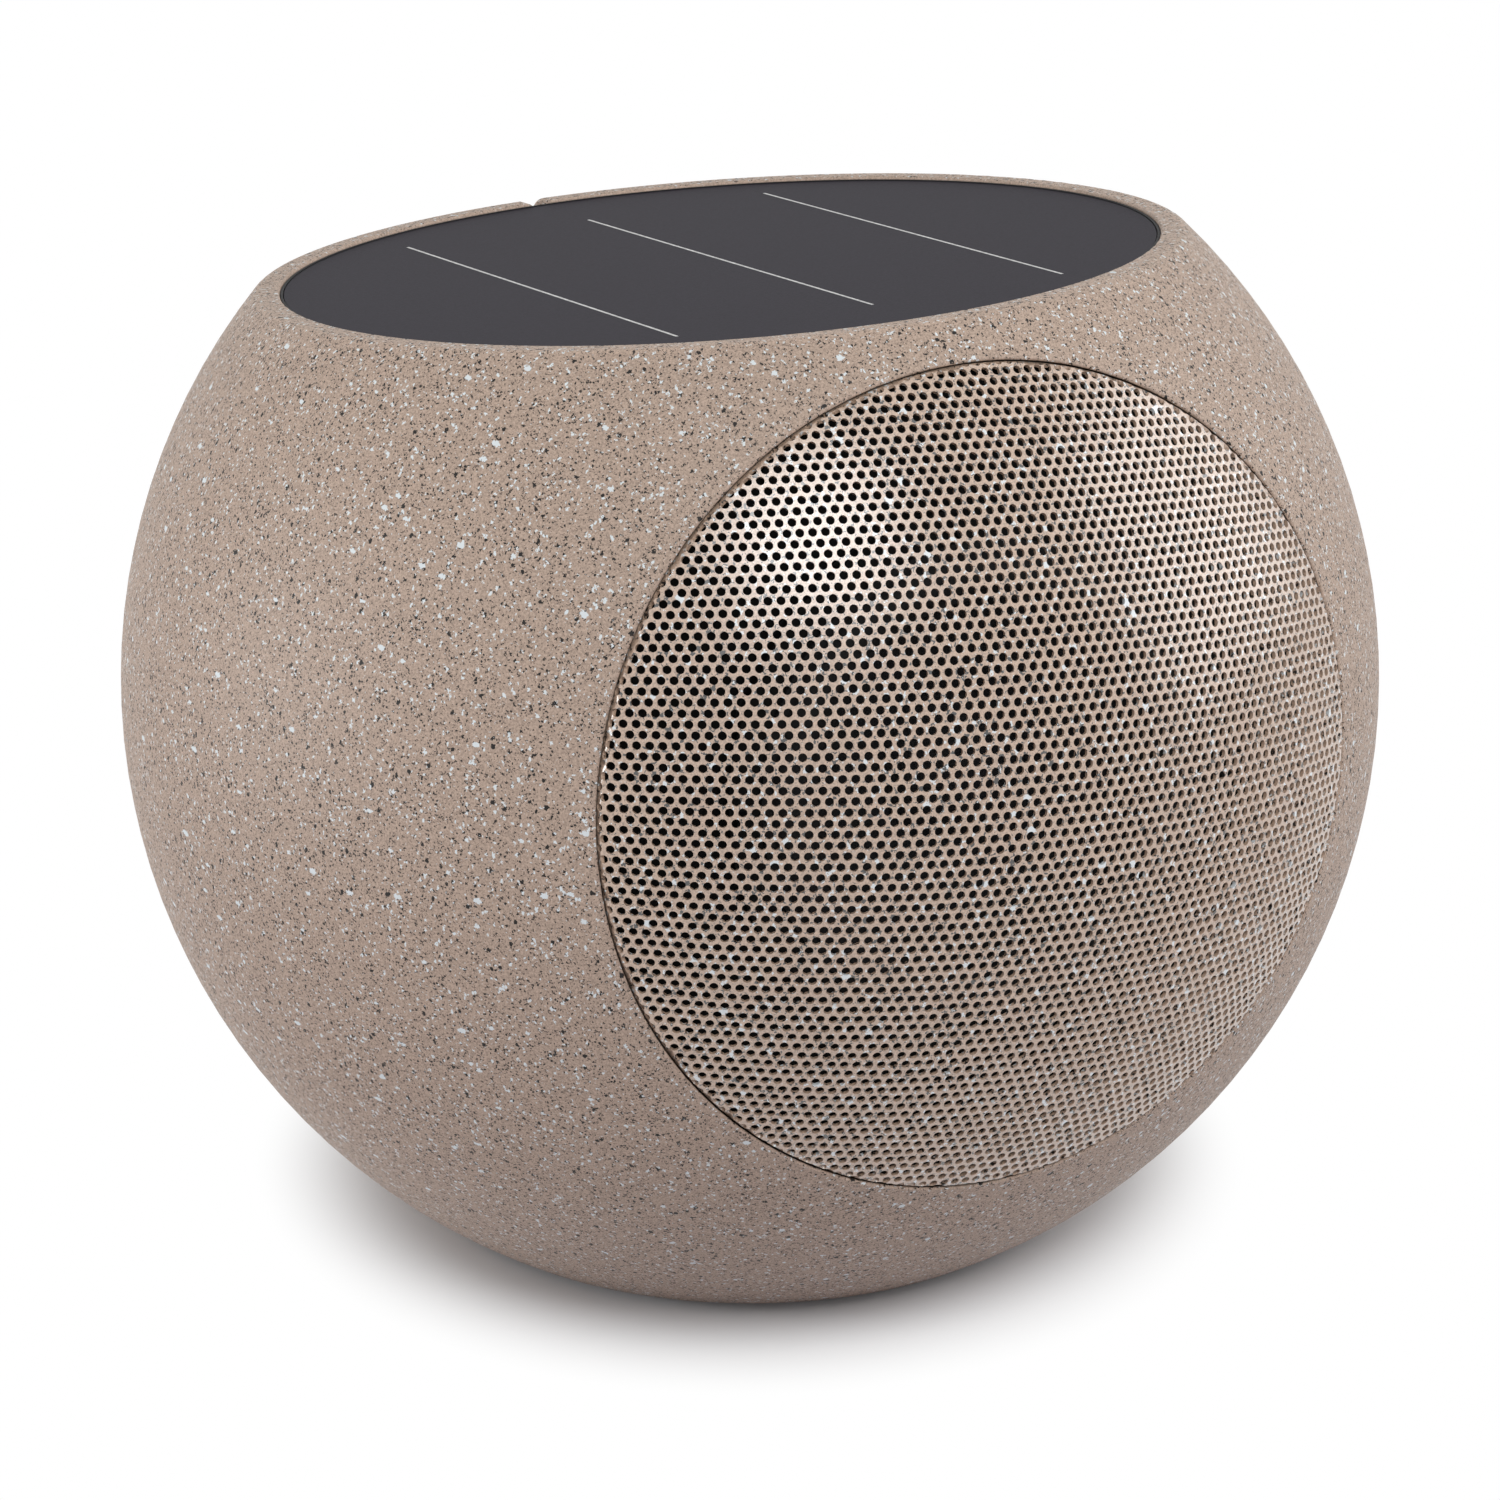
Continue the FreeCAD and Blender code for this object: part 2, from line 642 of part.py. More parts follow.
def make_grille():
    """Domed sheet flush with the ball, its edge rolled back to a flange that stands on the
    baffle, with staggered rows of round holes turned a little from level."""
    grille = in_front("grille")
    centre = ("0", "0")
    roll = ("roll_centre_x", "roll_centre_z")
    turned(grille, "dome", [
        ("0", "ball_radius", centre),
        ("roll_tangent", "+", roll),
        ("+", "roll_centre_z"),
        ("grille_edge", "baffle_front"),
        ("grille_edge - grille_sheet", "baffle_front"),
        ("grille_edge - grille_sheet", "roll_centre_z", roll),
        ("roll_inner_tangent", "+", centre),
        ("0", "+"),
    ])
    reach = measure("grille_edge - grille_sheet - hole_margin - hole_radius")
    pitch = measure("hole_pitch")
    step = pitch * sqrt(3) / 2
    last_row = floor(reach / step)
    for row in range(-last_row, last_row + 1):
        half = sqrt(reach ** 2 - (row * step) ** 2)
        shift = row % 2 / 2
        count = 2 * floor(half / pitch - shift) + 1 + row % 2
        if count > 0:
            punch_row(grille, row, last_row, count)


def punch_row(grille, row, last_row, count):
    """One row of holes through the dome, its first hole at the left."""
    name = "hole_row_%d" % (row + last_row + 1)
    sketch = new_sketch(grille, name + "_sketch", "XY_Plane", "baffle_front", spin="-row_turn")
    left = "-hole_pitch * %r" % ((count - 1) / 2)
    circle(sketch, "hole_radius", left, "hole_pitch * %d * sin(60)" % row)
    hole = feature(grille, "Pocket", name, sketch, Length="ball_radius", Reversed=True)
    if count > 1:
        length = "hole_pitch * %d" % (count - 1)
        along(grille, name + "_line", hole, (sketch, ["H_Axis"]), length, str(count))


def make_baffle():
    """Round plate in the opening that carries the loudspeaker and the grille's edge."""
    baffle = in_front("front_baffle")
    turned(baffle, "baffle_disc", [
        ("baffle_hole", "baffle_back"),
        ("grille_edge", "baffle_back"),
        ("grille_edge", "baffle_front"),
        ("baffle_hole", "baffle_front"),
    ])
    drilled(baffle, "baffle_hole_ring", "screw_hole", "baffle_screw_circle", "baffle_screw_count",
            "baffle_back", "baffle_thickness")
    drilled(baffle, "driver_pilot", "screw_hole", "driver_screw_circle", "driver_screw_count",
            "baffle_back", "baffle_thickness")
    screws("baffle_screws", in_front, "screw_radius", "screw_head_radius", "screw_head_height",
           "baffle_screw_circle", "baffle_screw_count", "baffle_front",
           "baffle_thickness + baffle_seat_thickness")


def screws(name, frame, radius, head_radius, head_height, circle_radius, count, seat, length, down=True):
    """A ring of pan-head screws whose heads sit on a face and whose shanks go down from it."""
    piece = frame(name)
    way = "-" if down else "+"
    back = "+" if down else "-"
    shank = new_sketch(piece, name + "_profile", "XZ_Plane")
    outline(shank, [
        (circle_radius, "%s %s (%s)" % (seat, way, length)),
        ("%s + %s" % (circle_radius, radius), "%s %s (%s)" % (seat, way, length)),
        ("%s + %s" % (circle_radius, radius), seat),
        ("%s + %s" % (circle_radius, head_radius), seat),
        ("%s + %s" % (circle_radius, head_radius), "%s %s %s" % (seat, back, head_height)),
        (circle_radius, "%s %s %s" % (seat, back, head_height)),
    ])
    foot = FreeCAD.Vector(measure(circle_radius), 0, 0)
    top = FreeCAD.Vector(measure(circle_radius), measure(length), 0)
    middle = shank.addGeometry(Part.LineSegment(foot, top), True)
    hold(shank, middle, 1, circle_radius, "0")
    shank.addConstraint(Sketcher.Constraint("Vertical", middle))
    screw = feature(piece, "Revolution", name + "_first", shank,
                    ReferenceAxis=(shank, ["Axis0"]), Angle=360.0)
    around(piece, name + "_ring", screw, (shank, ["V_Axis"]), count)


def make_driver():
    """Loudspeaker: gasket, pressed basket, magnet, coil, cone, cap, surround and spider."""
    gasket = in_front("driver_gasket")
    turned(gasket, "gasket_ring", [
        ("baffle_hole", "baffle_front"),
        ("basket_flange", "baffle_front"),
        ("basket_flange", "flange_bottom"),
        ("baffle_hole", "flange_bottom"),
    ])
    drilled(gasket, "gasket_hole", "screw_hole", "driver_screw_circle", "driver_screw_count",
            "baffle_front", "gasket_thickness")
    make_basket()
    screws("driver_screws", in_front, "screw_radius", "screw_head_radius", "screw_head_height",
           "driver_screw_circle", "driver_screw_count", "flange_face",
           "basket_flange_thickness + gasket_thickness + baffle_thickness")
    make_magnet()
    make_moving_parts()
    make_suspension()


def make_basket():
    """Pressed frame with a flange, a window in each quarter, a spider seat and a flat back."""
    basket = in_front("driver_basket")
    turned(basket, "basket_shell", [
        ("basket_flange", "flange_face"),
        ("basket_mouth", "flange_face"),
        ("basket_mouth", "flange_bottom"),
        ("spider_seat_outer", "spider_seat"),
        ("spider_seat_inner", "spider_seat"),
        ("spider_seat_inner", "basket_back + basket_sheet"),
        ("back_hole", "basket_back + basket_sheet"),
        ("back_hole", "basket_back"),
        ("spider_seat_inner + basket_sheet", "basket_back"),
        ("spider_seat_inner + basket_sheet", "spider_seat - basket_sheet"),
        ("spider_seat_outer + basket_sheet", "spider_seat - basket_sheet"),
        ("basket_outside", "flange_bottom"),
        ("basket_flange", "flange_bottom"),
    ])
    window = new_sketch(basket, "window_sketch", "XZ_Plane", "-window_width / 2")
    outline(window, [
        ("spider_seat_inner", "spider_seat + window_margin"),
        ("basket_flange", "spider_seat + window_margin"),
        ("basket_flange", "flange_bottom - window_margin"),
        ("spider_seat_inner", "flange_bottom - window_margin"),
    ])
    opening = feature(basket, "Pocket", "window", window, Length="window_width", Reversed=True)
    around(basket, "windows", opening, (window, ["V_Axis"]), "window_count")
    drilled(basket, "flange_hole", "screw_hole", "driver_screw_circle", "driver_screw_count",
            "flange_bottom", "basket_flange_thickness")


def make_magnet():
    """Front plate, ring magnet, and back plate with the pole, stacked behind the basket."""
    turned(in_front("magnet_front_plate"), "front_ring", [
        ("plate_bore", "basket_back - top_plate_thickness"),
        ("top_plate_radius", "basket_back - top_plate_thickness"),
        ("top_plate_radius", "basket_back"),
        ("plate_bore", "basket_back"),
    ])
    turned(in_front("ring_magnet"), "magnet_ring", [
        ("magnet_bore", "yoke_front"),
        ("magnet_radius", "yoke_front"),
        ("magnet_radius", "basket_back - top_plate_thickness"),
        ("magnet_bore", "basket_back - top_plate_thickness"),
    ])
    turned(in_front("magnet_pole"), "pole_and_plate", [
        ("0", "yoke_back"),
        ("top_plate_radius", "yoke_back"),
        ("top_plate_radius", "yoke_front"),
        ("pole_radius", "yoke_front"),
        ("pole_radius", "basket_back"),
        ("0", "basket_back"),
    ])


def make_moving_parts():
    """Voice coil, paper cone with a flat rim, and the cap over its neck."""
    turned(in_front("voice_coil"), "former_and_winding", [
        ("former_radius", "former_bottom"),
        ("winding_radius", "former_bottom"),
        ("winding_radius", "former_bottom + winding_length"),
        ("former_outside", "former_bottom + winding_length"),
        ("former_outside", "former_top"),
        ("former_radius", "former_top"),
    ])
    turned(in_front("driver_cone"), "cone_skin_turn", [
        ("cone_neck", "cone_bottom"),
        ("cone_rim_inner", "flange_face - cone_skin"),
        ("cone_rim", "flange_face - cone_skin"),
        ("cone_rim", "flange_face"),
        ("cone_rim_inner", "flange_face"),
        ("cone_neck", "cone_bottom + cone_skin"),
    ])
    middle = ("0", "cap_centre")
    turned(in_front("dust_cap"), "cap_dome", [
        ("0", "cap_centre + cap_sphere", middle),
        ("+", "cap_base"),
        ("cap_inner", "cap_base", middle),
        ("0", "+"),
    ])


def make_suspension():
    """Half-roll surround between cone and basket, and a waved spider round the coil."""
    middle = ("roll_middle", "flange_face")
    lip_top = "flange_face + surround_skin"
    turned(in_front("driver_surround"), "surround_roll", [
        ("cone_rim_inner", "flange_face"),
        ("roll_middle - roll_inside", "flange_face", middle),
        ("roll_middle", "+", middle),
        ("+", "flange_face"),
        ("surround_outer", "flange_face"),
        ("surround_outer", lip_top),
        ("roll_middle + sqrt(roll_outside ^ 2 - surround_skin ^ 2)", lip_top, middle),
        ("roll_middle", "+", middle),
        ("-", lip_top),
        ("cone_rim_inner", lip_top),
    ])
    inner = "cone_neck"
    run = "((spider_seat_inner - cone_neck) / (2 * spider_waves))"
    count = 2 * int(measure("spider_waves"))
    lower = [(inner, "spider_seat")]
    upper = [(inner, "spider_seat + spider_skin")]
    for index in range(1, count):
        across = "%s + %d * %s" % (inner, index, run)
        wave = "spider_wave" if index % 2 else "0"
        lower.append((across, "spider_seat + " + wave))
        upper.append((across, "spider_seat + spider_skin + " + wave))
    seat = "spider_seat_outer - glue_clearance"
    lower.append((seat, "spider_seat"))
    upper.append((seat, "spider_seat + spider_skin"))
    turned(in_front("driver_spider"), "spider_waves_turn", lower + upper[::-1])


def make_base():
    """Base plate with a control cup, posts and a foot groove, its seal, foot ring and screws."""
    plate = new_piece("base_plate")
    cup_outside = "cup_radius + cup_wall"
    turned(plate, "plate_and_cup", [
        ("0", "cup_floor_bottom"),
        ("cup_radius", "cup_floor_bottom"),
        ("cup_radius", "foot_height"),
        ("foot_inner", "foot_height"),
        ("foot_inner", "foot_height + foot_groove"),
        ("foot_outer", "foot_height + foot_groove"),
        ("foot_outer", "foot_height"),
        ("plate_radius", "foot_height"),
        ("plate_radius", "plate_top"),
        (cup_outside, "plate_top"),
        (cup_outside, "cup_floor_top"),
        ("0", "cup_floor_top"),
    ])
    posts = new_sketch(plate, "stack_post_sketch", "XY_Plane", "plate_top")
    four_corners(posts, "stack_post_radius", "stack_post_x", "stack_post_y")
    feature(plate, "Pad", "stack_posts", posts, Length="stack_post_height")
    small = new_sketch(plate, "control_post_sketch", "XY_Plane", "cup_floor_top")
    four_corners(small, "control_post_radius", "control_post_x", "control_post_y")
    feature(plate, "Pad", "control_posts", small, Length="control_post_height")
    bores = new_sketch(plate, "stack_bore_sketch", "XY_Plane", "tray_bottom")
    four_corners(bores, "screw_hole", "stack_post_x", "stack_post_y")
    feature(plate, "Pocket", "stack_bores", bores, Length="screw_bite + screw_clearance")
    pilots = new_sketch(plate, "control_bore_sketch", "XY_Plane", "control_board_bottom")
    four_corners(pilots, "small_screw_hole", "control_post_x", "control_post_y")
    feature(plate, "Pocket", "control_bores", pilots, Length="small_screw_bite + screw_clearance")
    floor_cuts = new_sketch(plate, "control_cut_sketch", "XY_Plane", "cup_floor_bottom")
    circle(floor_cuts, "button_hole", "button_spacing / 2")
    circle(floor_cuts, "button_hole", "-button_spacing / 2")
    circle(floor_cuts, "light_radius + light_clearance", "0", "port_offset")
    rectangle(floor_cuts, "port_length + 2 * port_clearance", "port_width + 2 * port_clearance",
              "0", "-port_offset")
    feature(plate, "Pocket", "control_cuts", floor_cuts, Length="cup_floor", Reversed=True)
    drilled(plate, "base_hole", "screw_hole", "base_screw_circle", "base_screw_count",
            "foot_height", "plate_thickness")
    drilled(plate, "base_counterbore", "screw_head_radius + screw_clearance", "base_screw_circle",
            "base_screw_count", "foot_height", "screw_head_height")
    seal = new_piece("base_seal")
    turned(seal, "base_seal_ring", [
        ("base_flange_inner", "plate_top"),
        ("plate_radius", "plate_top"),
        ("plate_radius", "base_seal_top"),
        ("base_flange_inner", "base_seal_top"),
    ])
    drilled(seal, "seal_hole", "screw_hole", "base_screw_circle", "base_screw_count",
            "plate_top", "base_seal_thickness")
    screws("base_screws", new_piece, "screw_radius", "screw_head_radius", "screw_head_height",
           "base_screw_circle", "base_screw_count", "foot_height + screw_head_height",
           "base_flange_top - foot_height - screw_head_height", down=False)
    turned(new_piece("foot_ring"), "foot_turn", [
        ("foot_outer", "foot_height + foot_groove"),
        ("foot_inner", "foot_height + foot_groove"),
        ("foot_inner", "foot_edge_round", ("foot_inner + foot_edge_round", "foot_edge_round")),
        ("foot_inner + foot_edge_round", "-"),
        ("foot_outer - foot_edge_round", "0", ("foot_outer - foot_edge_round", "foot_edge_round")),
        ("+", "foot_edge_round"),
    ])


def make_controls():
    """Two push buttons, their switches, the charging socket with its bung, a light pipe and
    the small board that carries them."""
    for name, side in (("power_button", "-"), ("pairing_button", "")):
        make_button(name, side + "button_spacing / 2")
    switches = new_piece("button_switches")
    bodies = new_sketch(switches, "switch_sketch", "XY_Plane", "switch_bottom")
    rectangle(bodies, "switch_width", "switch_width", "button_spacing / 2")
    rectangle(bodies, "switch_width", "switch_width", "-button_spacing / 2")
    feature(switches, "Pad", "switch_bodies", bodies, Length="control_board_bottom - switch_bottom")
    board = new_piece("control_board")
    face = new_sketch(board, "control_board_sketch", "XY_Plane", "control_board_bottom")
    rectangle(face, "control_board_length", "control_board_width")
    four_corners(face, "small_screw_hole", "control_post_x", "control_post_y")
    feature(board, "Pad", "control_board_plate", face, Length="board_thickness")
    corner_screws("control_screws", "control_post_x", "control_post_y", "control_board_top",
                  "small_screw_radius", "small_screw_head_radius", "small_screw_head_height",
                  "board_thickness + small_screw_bite")
    light = new_piece("status_light")
    lens = new_sketch(light, "light_sketch", "XY_Plane", "cup_floor_bottom")
    circle(lens, "light_radius", "0", "port_offset")
    feature(light, "Pad", "light_pipe", lens, Length="control_board_bottom - cup_floor_bottom")
    make_port()


def make_button(name, x):
    """A round cap that goes through the cup's floor, held by a collar, with a short stem."""
    button = new_piece(name)
    cap_face = new_sketch(button, name + "_cap_sketch", "XY_Plane", "cup_floor_bottom - button_proud")
    circle(cap_face, "button_radius", x)
    cap = feature(button, "Pad", name + "_cap", cap_face, Length="button_proud + cup_floor")
    round_edges(button, name + "_edge", cap, "button_edge_round",
                lambda point: near(point.z, "cup_floor_bottom - button_proud"))
    collar = new_sketch(button, name + "_collar_sketch", "XY_Plane", "cup_floor_top")
    circle(collar, "button_radius + button_collar", x)
    feature(button, "Pad", name + "_collar", collar, Length="button_collar_thickness")
    stem = new_sketch(button, name + "_stem_sketch", "XY_Plane", "cup_floor_top + button_collar_thickness")
    circle(stem, "button_stem_radius", x)
    feature(button, "Pad", name + "_stem", stem, Length="button_stem_height")


def make_port():
    """Charging socket that hangs from the control board, and the bung that closes it."""
    socket = new_piece("charging_socket")
    outside = new_sketch(socket, "socket_sketch", "XY_Plane", "port_mouth")
    rectangle(outside, "port_length", "port_width", "0", "-port_offset")
    feature(socket, "Pad", "socket_block", outside, Length="control_board_bottom - port_mouth")
    inside = new_sketch(socket, "socket_hollow_sketch", "XY_Plane", "port_mouth")
    rectangle(inside, "port_length - 2 * port_wall", "port_width - 2 * port_wall", "0", "-port_offset")
    feature(socket, "Pocket", "socket_hollow", inside, Length="port_depth", Reversed=True)
    bung = new_piece("port_bung")
    cover = new_sketch(bung, "bung_cover_sketch", "XY_Plane", "cup_floor_bottom - bung_thickness")
    border = "2 * port_clearance + 2 * bung_border"
    rectangle(cover, "port_length + " + border, "port_width + " + border, "0", "-port_offset")
    pad = feature(bung, "Pad", "bung_cover", cover, Length="bung_thickness")
    round_edges(bung, "bung_edge", pad, "bung_edge_round",
                lambda point: near(point.z, "cup_floor_bottom - bung_thickness"))
    plug = new_sketch(bung, "bung_plug_sketch", "XY_Plane", "cup_floor_bottom")
    border = "2 * (port_wall + bung_clearance)"
    rectangle(plug, "port_length - " + border, "port_width - " + border, "0", "-port_offset")
    feature(bung, "Pad", "bung_plug", plug, Length="bung_plug_length")


def corner_screws(name, x, y, seat, radius, head_radius, head_height, length):
    """Pan-head screws at the four corners of a board, heads up."""
    piece = new_piece(name)
    shanks = new_sketch(piece, name + "_shank_sketch", "XY_Plane", seat)
    four_corners(shanks, radius, x, y)
    feature(piece, "Pad", name + "_shanks", shanks, Length=length, Reversed=True)
    heads = new_sketch(piece, name + "_head_sketch", "XY_Plane", seat)
    four_corners(heads, head_radius, x, y)
    feature(piece, "Pad", name + "_heads", heads, Length=head_height)


def make_stack():
    """Battery tray on the base plate's posts, cells in it, and the amplifier board above."""
    tray = new_piece("battery_tray")
    deck = new_sketch(tray, "tray_sketch", "XY_Plane", "tray_bottom")
    rectangle(deck, "stack_length", "stack_width")
    feature(tray, "Pad", "tray_deck", deck, Length="tray_thickness")
    walls = new_sketch(tray, "tray_wall_sketch", "XY_Plane", "tray_top")
    rectangle(walls, "2 * (cell_end + tray_wall)", "2 * (cell_row_half + tray_wall)")
    rectangle(walls, "2 * cell_end", "2 * cell_row_half")
    feature(tray, "Pad", "tray_walls", walls, Length="tray_wall_height")
    pillars = new_sketch(tray, "pillar_sketch", "XY_Plane", "tray_top")
    four_corners(pillars, "stack_post_radius", "stack_post_x", "stack_post_y")
    feature(tray, "Pad", "pillars", pillars, Length="pillar_height")
    hollow = new_sketch(tray, "tray_hollow_sketch", "XY_Plane", "tray_top")
    rectangle(hollow, "2 * cell_end", "2 * cell_row_half")
    feature(tray, "Pocket", "tray_hollow", hollow, Length="pillar_height", Reversed=True)
    bores = new_sketch(tray, "pillar_bore_sketch", "XY_Plane", "tray_bottom")
    four_corners(bores, "screw_hole", "stack_post_x", "stack_post_y")
    feature(tray, "Pocket", "pillar_bores", bores, Length="tray_thickness + pillar_height", Reversed=True)
    make_cells()
    board = new_piece("amplifier_board")
    face = new_sketch(board, "amplifier_board_sketch", "XY_Plane", "stack_board_bottom")
    rectangle(face, "stack_length", "stack_width")
    four_corners(face, "screw_hole", "stack_post_x", "stack_post_y")
    feature(board, "Pad", "amplifier_board_plate", face, Length="board_thickness")
    corner_screws("stack_screws", "stack_post_x", "stack_post_y", "stack_board_top",
                  "screw_radius", "screw_head_radius", "screw_head_height",
                  "board_thickness + pillar_height + tray_thickness + screw_bite")
    make_board_parts()


def make_cells():
    """A row of round cells that lie across the tray, each with a raised end."""
    cells = new_piece("battery_cells")
    for kind, radius, length in (
            ("body", "cell_radius", "cell_length"),
            ("end", "cell_terminal_radius", "cell_length + 2 * cell_terminal_height")):
        ends = new_sketch(cells, "cell_%s_sketch" % kind, "YZ_Plane", "-(%s) / 2" % length)
        for index in range(int(measure("cell_count"))):
            across = "cell_spacing * (%d - (cell_count - 1) / 2)" % index
            circle(ends, radius, across, "tray_top + cell_radius")
        feature(cells, "Pad", "cell_" + kind, ends, Length=length)


def make_board_parts():
    """Radio module, coil cores, capacitors and lead sockets on the amplifier board."""
    radio = new_piece("radio_module")
    can = new_sketch(radio, "radio_sketch", "XY_Plane", "stack_board_top")
    rectangle(can, "radio_length", "radio_width", "radio_x", "radio_y")
    feature(radio, "Pad", "radio_can", can, Length="radio_height")
    coils = new_piece("filter_coils")
    cores = new_sketch(coils, "coil_sketch", "XY_Plane", "stack_board_top")
    circle(cores, "coil_core_radius", "coil_core_x", "coil_core_spacing / 2")
    circle(cores, "coil_core_radius", "coil_core_x", "-coil_core_spacing / 2")
    feature(coils, "Pad", "coil_cores", cores, Length="coil_core_height")
    capacitors = new_piece("filter_capacitors")
    cans = new_sketch(capacitors, "capacitor_sketch", "XY_Plane", "stack_board_top")
    for index in range(int(measure("capacitor_count"))):
        across = "capacitor_spacing * (%d - (capacitor_count - 1) / 2)" % index
        circle(cans, "capacitor_radius", "capacitor_x", across)
    feature(capacitors, "Pad", "capacitor_cans", cans, Length="capacitor_height")
    sockets = new_piece("lead_sockets")
    blocks = new_sketch(sockets, "lead_socket_sketch", "XY_Plane", "stack_board_top")
    for index in range(int(measure("socket_count"))):
        across = "socket_spacing * (%d - (socket_count - 1) / 2)" % index
        rectangle(blocks, "socket_length", "socket_width", across, "socket_y")
    feature(sockets, "Pad", "lead_socket_blocks", blocks, Length="socket_height")


def check_and_write():
    """Stop on any failed object or bad shape, then write one file for each piece."""
    doc.recompute()
    failed = [item.Name for item in doc.Objects if "Invalid" in item.State or "Error" in item.State]
    if failed:
        raise RuntimeError("failed objects: " + ", ".join(failed))
    for piece in pieces:
        if piece.Shape.isNull() or not piece.Shape.isValid() or not piece.Shape.Solids:
            raise RuntimeError("bad shape: " + piece.Label)
    os.makedirs("parts", exist_ok=True)
    for piece in pieces:
        piece.Shape.exportStep("parts/%s.step" % piece.Label)
        print(piece.Label, len(piece.Shape.Solids), round(piece.Shape.Volume, 1))


fill_sheet()
make_shell()
make_panel()
make_grille()
make_baffle()
make_driver()
make_base()
make_controls()
make_stack()
check_and_write()
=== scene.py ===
import json
from math import asin, cos, pi, radians, sin, sqrt

import bmesh
import bpy
import numpy as np
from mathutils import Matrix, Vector


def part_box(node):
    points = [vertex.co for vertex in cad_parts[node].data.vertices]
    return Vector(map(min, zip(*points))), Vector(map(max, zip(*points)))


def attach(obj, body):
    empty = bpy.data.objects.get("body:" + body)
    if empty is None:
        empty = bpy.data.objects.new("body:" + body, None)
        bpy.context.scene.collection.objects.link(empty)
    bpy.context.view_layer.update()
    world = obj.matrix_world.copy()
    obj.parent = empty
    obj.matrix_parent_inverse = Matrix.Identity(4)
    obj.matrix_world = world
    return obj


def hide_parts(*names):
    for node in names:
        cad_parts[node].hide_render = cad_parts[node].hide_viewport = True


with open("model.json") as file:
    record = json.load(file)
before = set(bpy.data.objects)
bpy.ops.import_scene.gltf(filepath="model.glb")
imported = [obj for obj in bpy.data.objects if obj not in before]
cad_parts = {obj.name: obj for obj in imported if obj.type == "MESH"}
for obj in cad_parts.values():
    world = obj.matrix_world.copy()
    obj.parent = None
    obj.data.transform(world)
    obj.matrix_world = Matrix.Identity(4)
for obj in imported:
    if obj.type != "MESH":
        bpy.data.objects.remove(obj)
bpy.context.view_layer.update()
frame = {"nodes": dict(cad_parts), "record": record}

# The ball, in metres: it leans back about its own middle
BALL_RADIUS = 0.1335
BALL_MIDDLE = Vector((0, 0, 0.11345))
LEAN = radians(9)

# The grille: sheet, rolled edge and punched pattern
GRILLE_HALF_ANGLE = radians(38.5)
GRILLE_RADIUS = BALL_RADIUS * sin(GRILLE_HALF_ANGLE)
GRILLE_SHEET = 0.0008
GRILLE_ROLL = 0.0008
GRILLE_FLANGE = 0.0037
GRILLE_GAP = 0.0003
OPENING_RADIUS = GRILLE_RADIUS + GRILLE_GAP
HOLE_PITCH = 0.00254
HOLE_RADIUS = 0.0009
BACK_HOLE_RADIUS = 0.00099
ROW_TURN = radians(-5.4)
FRONT_CORNERS = 12
BACK_CORNERS = 6
EDGE_STEPS = 240
BAND_PAST_HOLES = 0.0003
SHARP_EDGE = radians(40)

# The camera, as fitted to the ball's outline, the panel's edge and the grille's edge
CAMERA_FROM_MIDDLE = Vector((-0.494905, -0.994364, 0.461296))
CAMERA_AIM = Vector((0, 0, 0.09648))
FOCAL_LENGTH_MM = 135.2
SENSOR_MM = 36.0

# The stage: the floor keeps the shadow near the foot and is plain white further out
FLOOR_REACH = 4.0
FLOOR_STEPS = 96
FOOT_CLEARANCE = 0.0002
WHITE_FROM = 0.075
WHITE_TO = 0.110
WHITE = (1, 1, 1, 1)
FLOOR_SEEN = (0.92, 0.93, 0.95, 1)
FLOOR_BOUNCE = (0.50, 0.475, 0.52, 1)
SURROUND = 0.45

# Soft lamps: place from the ball's middle, width in metres and power in watts
LAMPS = {
    "key_lamp": ((-0.206, -0.964, 0.992), 0.58, 7.4),
    "right_lamp": ((1.3, -0.5, 0.5), 1.0, 7.0),
    "left_lamp": ((-1.0, 0.35, 0.05), 0.3, 4.0),
}

# The stone look of the moulded shell and of the painted grille
STONE_COLOUR = (0.452, 0.343, 0.273)
PAINT_COLOUR = (0.515, 0.372, 0.278)
STONE_CLOUD = 0.0004
STONE_CLOUD_DEPTH = 0.27
PAINT_COAT = 1.0
PAINT_COAT_ROUGHNESS = 0.32

# Flecks: cell in metres, smallest and largest reach as shares of it, turn in degrees and stretch
DARK_FLECK = (0.012, 0.010, 0.009, 1.0)
PALE_FLECK = (0.74, 0.79, 0.81, 1.0)
DARK_SPECKS = (
    (0.0008, 0.11, 0.43, (20, 35, 50), (1.0, 1.0, 1.7)),
    (0.0007, 0.09, 0.43, (70, 10, 25), (1.6, 0.9, 1.0)),
)
PLASTIC_CHIPS = (0.0018, 0.00, 0.34, (40, 80, 10), (1.0, 1.4, 1.0))
PAINT_CHIPS = (0.0018, 0.00, 0.24, (40, 80, 10), (1.0, 1.4, 1.0))
PALE_SLIVERS = (
    (0.0015, 0.00, 0.32, (15, 60, 40), (1.0, 1.9, 0.8)),
    (0.0018, 0.00, 0.30, (80, 25, 70), (2.0, 0.9, 1.0)),
    (0.0011, 0.00, 0.33, (35, 5, 120), (0.9, 1.0, 1.5)),
    (0.0034, 0.00, 0.24, (55, 40, 15), (1.0, 0.6, 1.2)),
)
FLECK_CRISPNESS = 36.0
RAGGED_SIZE = 0.0004
RAGGED_SHIFT = 0.0009
PAINT_DARK_GRAIN = 1.7
PAINT_PALE_GRAIN = 1.3

# Painted shade on the wall of the grille's opening: a dark colour that stands in for the shade in the
# gap, at least so far in front of the ball's middle
JOINT_SHADE_COLOUR = (0.035, 0.026, 0.020, 1.0)
JOINT_SHADE_IN_FRONT = 0.05
JOINT_SHADE_EDGE = 0.00015

